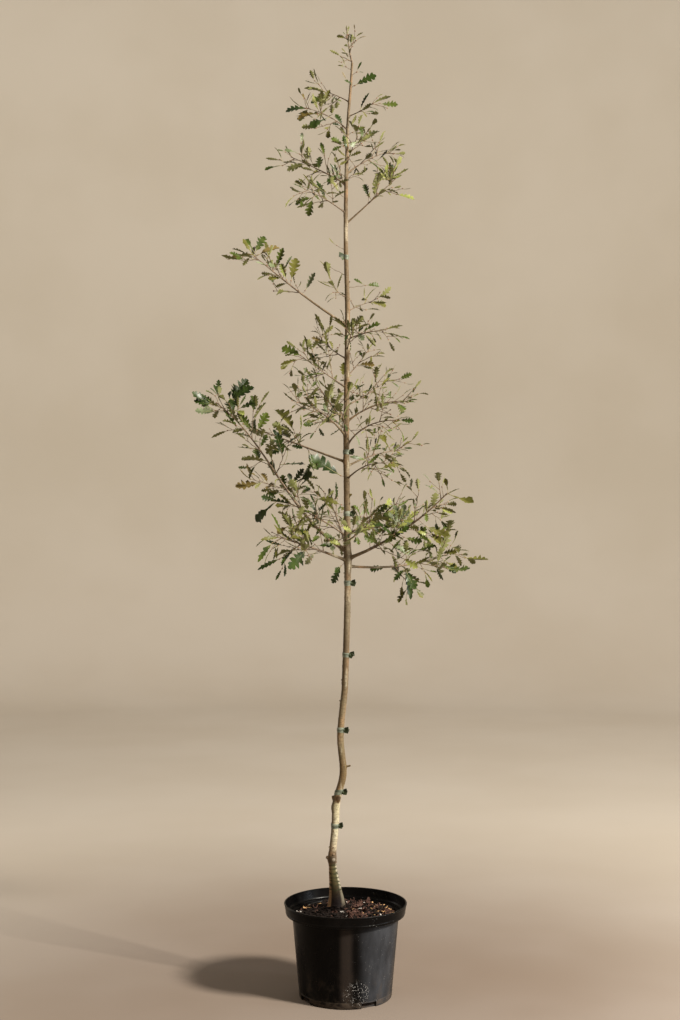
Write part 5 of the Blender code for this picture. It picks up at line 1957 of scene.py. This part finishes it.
# ---- tape ties
@dataclass(frozen=True)
class TapeTies:
    """Bands of soft tape round the trunk, each with a knot and two cut tails."""

    form: TieForm
    trunk: TrunkForm
    # each turn of tape: its middle above the tie's, how far it stands off, share of the width, and tilt
    turns: tuple[tuple[float, float, float, float], ...] = (
        (-0.0012, 0.0007, 0.8, 0.0006), (0.0014, 0.0012, 0.66, 0.0011),
    )
    # each tail: from what to what its lift, its swing and its length vary
    tails: tuple[tuple[Pair, Pair, Pair], ...] = (
        ((8, 24), (-10, 4), (0.011, 0.013)), ((-22, -4), (2, 16), (0.008, 0.011)),
    )
    band: TapeSkin = TapeSkin("tape_band", (0.066, 0.076, 0.052), (0.215, 0.236, 0.182))
    tail: TapeSkin = TapeSkin("tape_tail", (0.016, 0.024, 0.008), (0.06, 0.074, 0.034))

    def add_band(self, bm: BMesh, height: float, proud: float, width: float, tilt: float,
                 rng: random.Random) -> None:
        """Wrap one turn of tape.

        Args:
            bm: where it goes.
            height: its middle.
            proud: how far it stands off the bark.
            width: the width of the tape.
            tilt: how much it climbs from one side to the other.
            rng: the draws.
        """
        made = bmesh.ops.create_grid(bm, x_segments=30, y_segments=6, size=1.0)["verts"]
        lean, phase = rng.uniform(0, math.tau), rng.uniform(0, math.tau)
        for vert in made:
            around, share = (vert.co.x + 1) / 2 * math.tau, vert.co.y / 2
            level = height + share * width + tilt * math.cos(around - lean)
            creases = 0.00022 * math.sin(share * 21 + 2 * around + phase)
            radius = self.trunk.radius(level) + proud + creases - 0.0008 * (2 * share) ** 6
            middle = self.trunk.centre(level)
            vert.co = (middle.x + radius * math.cos(around), middle.y + radius * math.sin(around), level)
        bmesh.ops.remove_doubles(bm, verts=made, dist=1e-6)
        faces = faces_at(made)
        bmesh.ops.recalc_face_normals(bm, faces=faces)
        if faces[0].normal.dot(faces[0].calc_center_median() - self.trunk.centre(height)) < 0:
            bmesh.ops.reverse_faces(bm, faces=faces)
        bmesh.ops.solidify(bm, geom=faces, thickness=0.0006)

    def add_tail(self, bm: BMesh, height: float, lift: float, swing: float, length: float) -> None:
        """Cut one tail of tape that stands out from the knot.

        Args:
            bm: where it goes.
            height: the height of the tie.
            lift: degrees that it points up.
            swing: degrees that it points aside.
            length: how far it stands out.
        """
        out = self.form.heading(height)
        start = self.trunk.centre(height) + out * (self.trunk.radius(height) - 0.001)
        made = bmesh.ops.create_grid(bm, x_segments=5, y_segments=4, size=1.0)["verts"]
        for vert in made:
            share, across = (vert.co.x + 1) / 2, vert.co.y
            half = 0.0034 + 0.002 * min(1.0, share * 2.4)
            cut = 0.0012 * across * share
            sag = 0.0011 * math.sin(2.6 * share + 1.4 * across)
            vert.co = (share * (length + 0.002) + cut, sag, across * half)
        turn = (Matrix.Rotation(math.atan2(out.y, out.x) + math.radians(swing), 4, "Z")
                @ Matrix.Rotation(-math.radians(lift), 4, "Y"))
        bmesh.ops.transform(bm, matrix=Matrix.Translation(start) @ turn, verts=made)
        faces = faces_at(made)
        thick = bmesh.ops.solidify(bm, geom=faces, thickness=0.0007)["geom"]
        for face in [*faces, *(item for item in thick if isinstance(item, bmesh.types.BMFace))]:
            face.material_index = 1

    def add_knot(self, bm: BMesh, height: float) -> None:
        """Press a small knot against the band.

        Args:
            bm: where it goes.
            height: the height of the tie.
        """
        out = self.form.heading(height)
        spot = self.trunk.centre(height) + out * (self.trunk.radius(height) + 0.0018)
        turn = Matrix.Rotation(math.atan2(out.y, out.x), 4, "Z")
        shape = Matrix.Translation(spot) @ turn @ Matrix.Diagonal((0.0024, 0.003, 0.0042, 1.0))
        for vert in bmesh.ops.create_icosphere(bm, subdivisions=2, radius=1.0, matrix=shape)["verts"]:
            pinch = noise.noise(vert.co * 420.0)
            vert.co += (vert.co - spot).normalized() * pinch * 0.0007
            for face in vert.link_faces:
                face.material_index = 1

    def build(self) -> None:
        """Make every tie, joined in one piece."""
        bm, rng = bmesh.new(), random.Random(3)
        for height in self.form.heights:
            for shift, proud, share, tilt in self.turns:
                self.add_band(bm, height + shift, proud, self.form.width * share, tilt, rng)
            self.add_knot(bm, height)
            for lift, swing, length in self.tails:
                self.add_tail(bm, height, rng.uniform(*lift), rng.uniform(*swing), rng.uniform(*length))
        mesh = to_mesh("tape_ties", bm, [self.band.material(), self.tail.material()], crease=50.0)
        nodes = [f"tie_{number}" for number in range(1, len(self.form.heights) + 1)]
        new_piece("tape_ties", mesh, nodes)


# ---- pot
def steps_from(radius: float, height: float, *steps: Pair) -> list[Pair]:
    """List a profile's points, each so far out and up from one corner."""
    return [(radius + out, height + up) for out, up in steps]


@dataclass(frozen=True)
class NurseryPot:
    """Tapered black pot with a deep collar, a rolled rim and drain slots round its foot."""

    height: float = 0.212
    rim_radius: float = 0.14
    collar_foot_radius: float = 0.1355
    neck_radius: float = 0.1215
    base_radius: float = 0.105
    collar_height: float = 0.027
    wall: float = 0.0022
    slots: int = 4
    slot_size: Triple = (0.012, 0.038, 0.025)
    slot_bearing: float = 30.0
    sides: int = 144
    crease: float = 38.0

    def radius(self, height: float) -> float:
        """Give the radius of the wall's outer side at a height below the collar."""
        slope = (self.neck_radius - self.base_radius) / (self.height - self.collar_height)
        return self.base_radius + slope * height

    def profile(self) -> list[Pair]:
        """List the wall's outline, from the middle of the underside, out, up and back in.

        Returns:
            (radius, height) points.
        """
        base, neck, foot, rim = self.base_radius, self.neck_radius, self.collar_foot_radius, self.rim_radius
        ledge, top, wall = self.height - self.collar_height, self.height, self.wall
        body = [(self.radius(z), z) for z in np.linspace(0.0168, ledge - 0.004, 14)]
        slope = (rim - 0.0012 - foot) / (self.collar_height - 0.008)
        collar = [(foot + slope * (z - ledge - 0.003), z)
                  for z in np.linspace(ledge + 0.009, top - 0.0055, 5)]
        bead = [(rim - 0.0009 + 0.0009 * math.cos(angle), top - 0.0016 + 0.0016 * math.sin(angle))
                for angle in np.linspace(-1.3, math.pi / 2, 9)]
        return [
            (0.0, 0.0), (0.04, 0.0), (0.08, 0.0),
            *steps_from(base, 0.0, (-0.0026, 0.0), (-0.001, 0.0003), (-0.0002, 0.0011), (0.0003, 0.0024),
                        (0.0016, 0.0136), (0.0015, 0.0146), (0.0009, 0.0152)),
            *body,
            *steps_from(neck, ledge, (0.0, -0.001), (0.0006, -0.0001), (0.002, 0.0003)),
            *steps_from(foot, ledge, (-0.0016, 0.0012), (-0.0004, 0.0018), (0.0, 0.003), (0.0009, 0.0062),
                        (0.0013, 0.0068), (0.001, 0.0074)),
            *collar,
            *steps_from(rim, top, (-0.0013, -0.0046), (-0.0009, -0.0036)),
            *bead,
            *steps_from(rim, top, (-0.0022, 0.0), (-0.0032, -0.0008), (-0.0034, -0.003)),
            *steps_from(foot - wall, ledge, (0.0008, 0.009)),
            *steps_from(foot - wall, ledge + wall, (0.0, 0.0036), (-0.0012, 0.0024), (-0.006, 0.0018),
                        (-0.0064, 0.0002)),
            *steps_from(neck - wall, ledge + wall, (0.0008, -0.0004), (0.0, -0.002)),
            (base - wall, wall + 0.0024), (0.0, wall + 0.002),
        ]

    def slot_cutters(self) -> Mesh:
        """Make a block for each drain slot, rounded along its upper edges.

        Returns:
            The blocks.
        """
        bm = bmesh.new()
        for index in range(self.slots):
            turn = Matrix.Rotation(math.radians(self.slot_bearing) + math.tau * index / self.slots, 4, "Z")
            place = turn @ Matrix.Translation((self.base_radius, 0, 0))
            bmesh.ops.create_cube(bm, size=1.0, matrix=place @ Matrix.Diagonal((*self.slot_size, 1)))
        upper = [edge for edge in bm.edges if all(vert.co.z > 0 for vert in edge.verts)]
        bmesh.ops.bevel(bm, geom=upper, offset=0.0012, segments=3, affect="EDGES", profile=0.5, material=-1)
        return to_mesh("slot_cutters", bm, [])

    def build(self) -> None:
        """Spin the wall, cut the slots and put the pot in place."""
        mesh = to_mesh("nursery_pot", lathe(self.profile(), self.sides), [PotPlastic().material()])
        pot = new_piece("nursery_pot", mesh, ["pot"])
        blocks = add_object("slot_cutters", self.slot_cutters())
        cut = pot.modifiers.new("slots", "BOOLEAN")
        cut.operation, cut.solver, cut.object = "DIFFERENCE", "EXACT", blocks
        evaluated = pot.evaluated_get(bpy.context.evaluated_depsgraph_get())
        pot.data = dress(bpy.data.meshes.new_from_object(evaluated), [], self.crease)
        pot.modifiers.clear()
        bpy.data.objects.remove(blocks)
        log.info("nursery_pot: %d slots cut, %d faces", self.slots, len(pot.data.polygons))


# ---- compost
class Chip(Enum):
    """Colours of the chips on the compost."""

    DARK = ChipWood("chip_dark", (0.0016, 0.0008, 0.0005), (0.012, 0.006, 0.0038))
    RED = ChipWood("chip_red", (0.018, 0.0075, 0.005), (0.12, 0.062, 0.047))
    TAN = ChipWood("chip_tan", (0.24, 0.125, 0.05), (0.56, 0.35, 0.17))
    PALE = ChipWood("chip_pale", (0.36, 0.33, 0.3), (0.72, 0.68, 0.62), 0.5)


@dataclass(frozen=True)
class Compost:
    """Bark compost that fills the pot, a little mounded round the trunk, with chips on top."""

    pot: NurseryPot
    trunk: TrunkForm
    level: float = 0.1922
    edge_drop: float = 0.008
    flat_radius: float = 0.062
    heap_height: float = 0.006
    heap_radius: float = 0.03
    gap: float = 0.0013
    chips: int = 760
    chip_lengths: Pair = (0.005, 0.015)
    crumbs: int = 330
    crumb_lengths: Pair = (0.004, 0.01)
    crumb_ring: Pair = (0.0215, 0.016)
    sides: int = 120
    flat_curls: Triple = (0.25, 0.5, 0.9)
    tight_curls: Pair = (2.2, 3.6)

    def edge_radius(self, height: float) -> float:
        """Give the compost's radius at a height, just inside the pot's wall."""
        return self.pot.radius(height) - self.pot.wall - self.gap

    def surface(self, x: float, y: float) -> float:
        """Work out the height of the compost's top.

        Args:
            x: across.
            y: back.

        Returns:
            The height, with its lumps and the heap round the trunk.
        """
        edge = self.edge_radius(self.level - self.edge_drop)
        share = max(0.0, (math.hypot(x, y) - self.flat_radius) / (edge - self.flat_radius))
        lumps = noise.fractal(Vector((x * 55, y * 55, 3.1)), 0.9, 2.1, 4) * 0.002
        foot = self.trunk.centre(self.trunk.foot)
        away = ((x - foot.x) ** 2 + (y - foot.y) ** 2) / self.heap_radius ** 2
        heap = self.heap_height * math.exp(-away ** 2)
        return self.level - self.edge_drop * share ** 2 + lumps * (1 - 0.5 * share) + heap - 0.001

    def build_soil(self) -> None:
        """Spin the compost's body, and give its top lumps and crumbs."""
        top = self.level - self.edge_drop
        wall, floor = self.edge_radius(0.0), self.pot.wall + 0.0026
        rings = np.linspace(self.edge_radius(top), 0.0, 56)
        profile = [(0.0, floor), (wall - 0.001, floor), (wall, floor + 0.002),
                   *((self.edge_radius(z), z) for z in np.linspace(0.04, top - 0.004, 4)),
                   *((radius, self.level) for radius in rings)]
        bm = lathe(profile, self.sides)
        for vert in bm.verts:
            if vert.co.z > self.level - 1e-4:
                crumbs = noise.noise(Vector((vert.co.x * 260, vert.co.y * 260, 8.0))) * 0.0009
                vert.co.z = self.surface(vert.co.x, vert.co.y) + crumbs
        mesh = to_mesh("compost_body", bm, [Soil().material()], crease=55.0)
        new_piece("compost_body", mesh, ["root_ball"])

    def chip_shape(self, seed: int, curl: float) -> Shape:
        """Split one chip of bark.

        Args:
            seed: which variant.
            curl: how much it is curled, in radians over its length.

        Returns:
            The chip, about one unit long.
        """
        rng, bm, radius = random.Random(seed), bmesh.new(), 1.0 / curl
        made = bmesh.ops.create_grid(bm, x_segments=5, y_segments=2, size=0.5)["verts"]
        ragged = [(rng.uniform(-0.07, 0.07), rng.uniform(0.7, 1.2)) for _ in made]
        for vert, (shift, width) in zip(made, ragged):
            end = 1.0 - 0.45 * abs(vert.co.x * 2) ** 3
            vert.co = (vert.co.x + shift, vert.co.y * 0.42 * width * end, rng.uniform(-0.02, 0.02))
        bmesh.ops.solidify(bm, geom=bm.faces[:], thickness=0.1)
        for vert in bm.verts:
            angle, inner = vert.co.x * curl, radius - vert.co.z
            vert.co = (inner * math.sin(angle), vert.co.y, radius - inner * math.cos(angle))
        bmesh.ops.recalc_face_normals(bm, faces=bm.faces)
        return Shape.taken_from(bm)

    def colour_of(self, x: float, y: float, rng: random.Random) -> Chip:
        """Choose a chip's colour by where it lies: more red and tan chips to the right, and mostly dark ones
        to the left and front, which also paints the shade that falls there.

        Args:
            x: across.
            y: back.
            rng: the draws.

        Returns:
            The colour.
        """
        if x > 0.06 and y > -0.05:
            chances = (0.5, 0.34, 0.13, 0.03)
        elif x > 0.002:
            chances = (0.42, 0.52, 0.02, 0.04)
        elif x < -0.055 and y > 0.0:
            chances = (0.64, 0.2, 0.05, 0.11)
        # mostly dark chips on the left and front: the compost's own tone and painted shade
        else:
            chances = (0.9, 0.09, 0.0, 0.01)
        return rng.choices(list(Chip), chances)[0]

    def lay_chips(self, heap: Heap, shapes: Sequence[Shape], rng: random.Random) -> None:
        """Scatter chips over the compost, clear of the trunk.

        Args:
            heap: where they go.
            shapes: the chips to choose from, the tightly curled ones last.
            rng: the draws.
        """
        foot, edge = self.trunk.centre(self.trunk.foot), self.edge_radius(self.level - self.edge_drop) - 0.006
        while len(heap.points) < self.chips:
            angle, radius = rng.uniform(0, math.tau), edge * math.sqrt(rng.random())
            x, y = radius * math.cos(angle), radius * math.sin(angle)
            if math.hypot(x - foot.x, y - foot.y) < self.trunk.radius(self.trunk.foot):
                continue
            colour = self.colour_of(x, y, rng)
            long = rng.uniform(*self.chip_lengths) * (0.7 if colour is Chip.PALE else 1.0)
            if rng.random() < (0.35 if colour is Chip.RED and x > 0.0 else 0.1):
                long *= 1.5
            flat = len(self.flat_curls)
            shape = shapes[rng.randrange(len(shapes) if colour is Chip.RED else flat)]
            turn = Matrix.Rotation(rng.uniform(0, math.tau), 3, "Z")
            turn = turn @ Matrix.Rotation(rng.gauss(0, 0.35), 3, "X")
            turn = turn @ Matrix.Rotation(rng.gauss(0, 0.3), 3, "Y")
            spot = np.array((x, y, self.surface(x, y) + rng.uniform(0.0006, 0.0024)))
            size = np.array((long, long * rng.uniform(0.8, 1.3), long * rng.uniform(0.8, 1.4)))
            heap.add(shape, spot + (shape.points * size) @ np.array(turn).T, list(Chip).index(colour))

    def lay_crumbs(self, heap: Heap, shapes: Sequence[Shape], rng: random.Random) -> None:
        """Heap small dark chips against the trunk's foot.

        Args:
            heap: where they go.
            shapes: the chips to choose from.
            rng: the draws.
        """
        foot, (inner, width) = self.trunk.centre(self.trunk.foot), self.crumb_ring
        for _ in range(self.crumbs):
            angle, gap = rng.uniform(0, math.tau), rng.uniform(0.0, 1.0)
            x, y = (foot + Vector((math.cos(angle), math.sin(angle), 0.0)) * (inner + width * gap)).xy
            shape = shapes[rng.randrange(len(self.flat_curls))]
            turn = Matrix.Rotation(angle + math.pi / 2, 3, "Z")
            turn = turn @ Matrix.Rotation(rng.gauss(-0.6, 0.4), 3, "X")
            long = rng.uniform(*self.crumb_lengths)
            spot = np.array((x, y, self.surface(x, y) + rng.uniform(0.0, 0.01) * (1 - gap) ** 1.5))
            placed = spot + (shape.points * (long, long * 1.2, long)) @ np.array(turn).T
            heap.add(shape, placed, rng.choices((0, 1), (0.9, 0.1))[0])

    def build_chips(self) -> None:
        """Lay the chips and crumbs, joined in one piece."""
        curls = (*self.flat_curls, *self.tight_curls)
        shapes = [self.chip_shape(seed, curl) for seed, curl in enumerate(curls)]
        heap, rng = Heap(), random.Random(41)
        self.lay_chips(heap, shapes, rng)
        self.lay_crumbs(heap, shapes, rng)
        mesh = heap.mesh("bark_chips", [chip.value.material() for chip in Chip], 35.0)
        new_piece("bark_chips", mesh, ["root_ball"])


# ---- studio
@dataclass(frozen=True)
class Lamp:
    """One soft square light."""

    name: str
    place: Triple
    size: Pair
    power: float
    colour: Colour
    target: Triple = (0.0, 0.0, 1.1)

    def hang(self) -> None:
        """Hang the light and aim it at its target."""
        data = bpy.data.lights.new(self.name, "AREA")
        data.shape, data.size, data.size_y = "RECTANGLE", *self.size
        data.energy, data.color = self.power, self.colour
        hung = add_object(self.name, data)
        hung.location = self.place
        hung.rotation_mode = "QUATERNION"
        hung.rotation_quaternion = (Vector(self.target) - Vector(self.place)).to_track_quat("-Z", "Y")
        hung.visible_camera = False


@dataclass(frozen=True)
class Studio:
    """Pale floor that curves up into a round backdrop, soft lights and the camera."""

    near: Colour = (0.185, 0.138, 0.103)
    far: Colour = (0.455, 0.4, 0.333)
    wall: Colour = (0.44, 0.392, 0.324)
    # darker tones under two lamps: middle, outer and inner reach, and tone
    shades: tuple[tuple[Triple, float, float, Colour], ...] = (
        ((3.4, -2.6, 0.3), 3.4, 1.6, (0.15, 0.128, 0.104)),
        ((2.0, -0.6, 0.0), 1.25, 0.4, (0.085, 0.073, 0.06)),
    )
    floor_radius: float = 5.0
    bend: float = 1.7
    wall_top: float = 5.6
    sky: Colour = (1.0, 0.945, 0.86)
    sky_strength: float = 0.31
    lens: float = 53.5
    sensor: float = 36.0
    camera_place: Triple = (-0.0125, -3.457, 1.106)
    lamps: tuple[Lamp, ...] = (
        Lamp("key", (3.9, -2.6, 3.7), (0.8, 0.8), 760.0, (1.0, 0.94, 0.84)),
        Lamp("side", (2.2, -0.5, 0.45), (0.4, 0.8), 16.0, (0.84, 0.91, 1.0), (0.0, 0.0, 0.2)),
        Lamp("left", (-2.4, 1.3, 0.8), (0.25, 1.6), 9.0, (1.0, 0.94, 0.88), (0.0, 0.0, 0.3)),
        Lamp("wash", (0.0, 2.8, 5.2), (4.5, 1.2), 70.0, (1.0, 0.96, 0.9), (0.0, 6.7, 2.0)),
    )

    def build(self) -> None:
        """Make the backdrop, the light and the camera."""
        self.build_backdrop()
        for lamp in self.lamps:
            lamp.hang()
        world = bpy.data.worlds.new("soft_room")
        world.use_nodes = True
        background = world.node_tree.nodes["Background"]
        background.inputs["Color"].default_value = (*self.sky, 1.0)
        background.inputs["Strength"].default_value = self.sky_strength
        bpy.context.scene.world = world
        bpy.context.scene.view_settings.view_transform = "Standard"
        self.add_camera()

    def build_backdrop(self) -> None:
        """Spin the floor with its wall, and tone it."""
        curve = [(self.floor_radius + self.bend * math.sin(angle), self.bend * (1 - math.cos(angle)))
                 for angle in np.linspace(0, math.pi / 2, 17)]
        profile = [(0.0, 0.0), (2.0, 0.0), (4.0, 0.0), *curve, (curve[-1][0], self.wall_top)]
        bm = lathe(profile, 96)
        if min(bm.faces, key=lambda face: face.calc_center_median().length).normal.z < 0:
            bmesh.ops.reverse_faces(bm, faces=bm.faces)
        recipe = Recipe("backdrop")
        rise = recipe.span(recipe.along("Z"), 0.0, 1.5)
        out = recipe.span(recipe.distance((0.0, 0.0, 0.0)), 0.3, 2.2)
        tone = recipe.mix(rise, recipe.mix(out, self.near, self.far), self.wall)
        for middle, outer, inner, shade in self.shades:
            tone = recipe.mix(recipe.span(recipe.distance(middle), outer, inner), tone, shade)
        cloud = recipe.span(recipe.noise(1.1), 0.3, 0.7, 0.0, 0.05)
        recipe.set(Base_Color=recipe.mix(cloud, tone, (1.0, 1.0, 1.0)), Roughness=0.9)
        floor = add_object("floor", to_mesh("floor", bm, [recipe.material]))

    def add_camera(self) -> None:
        """Set the camera level with the middle of the plant, square to it."""
        data = bpy.data.cameras.new("camera")
        data.lens, data.sensor_width = self.lens, self.sensor
        camera = add_object("camera", data)
        camera.location = self.camera_place
        camera.rotation_euler = (math.radians(90), 0.0, 0.0)
        bpy.context.scene.camera = camera


def main() -> None:
    """Build the studio, the pot and the plant."""
    logging.basicConfig(level=logging.INFO, format="%(name)s: %(message)s")
    Studio().build()
    pot, trunk, ties, rule = NurseryPot(), TrunkForm(), TieForm(), GrowthRule()
    pot.build()
    compost = Compost(pot, trunk)
    compost.build_soil()
    compost.build_chips()
    masses = rule.grow_plant(trunk, ties)
    for tuft in TUFTS:
        tuft.grow(masses, trunk)
    wood = Wood(trunk, rule)
    wood.build_bark(masses)
    wood.build_twigs(masses)
    Foliage().build(masses, rule)
    TapeTies(ties, trunk).build()


if __name__ == "__main__":
    main()
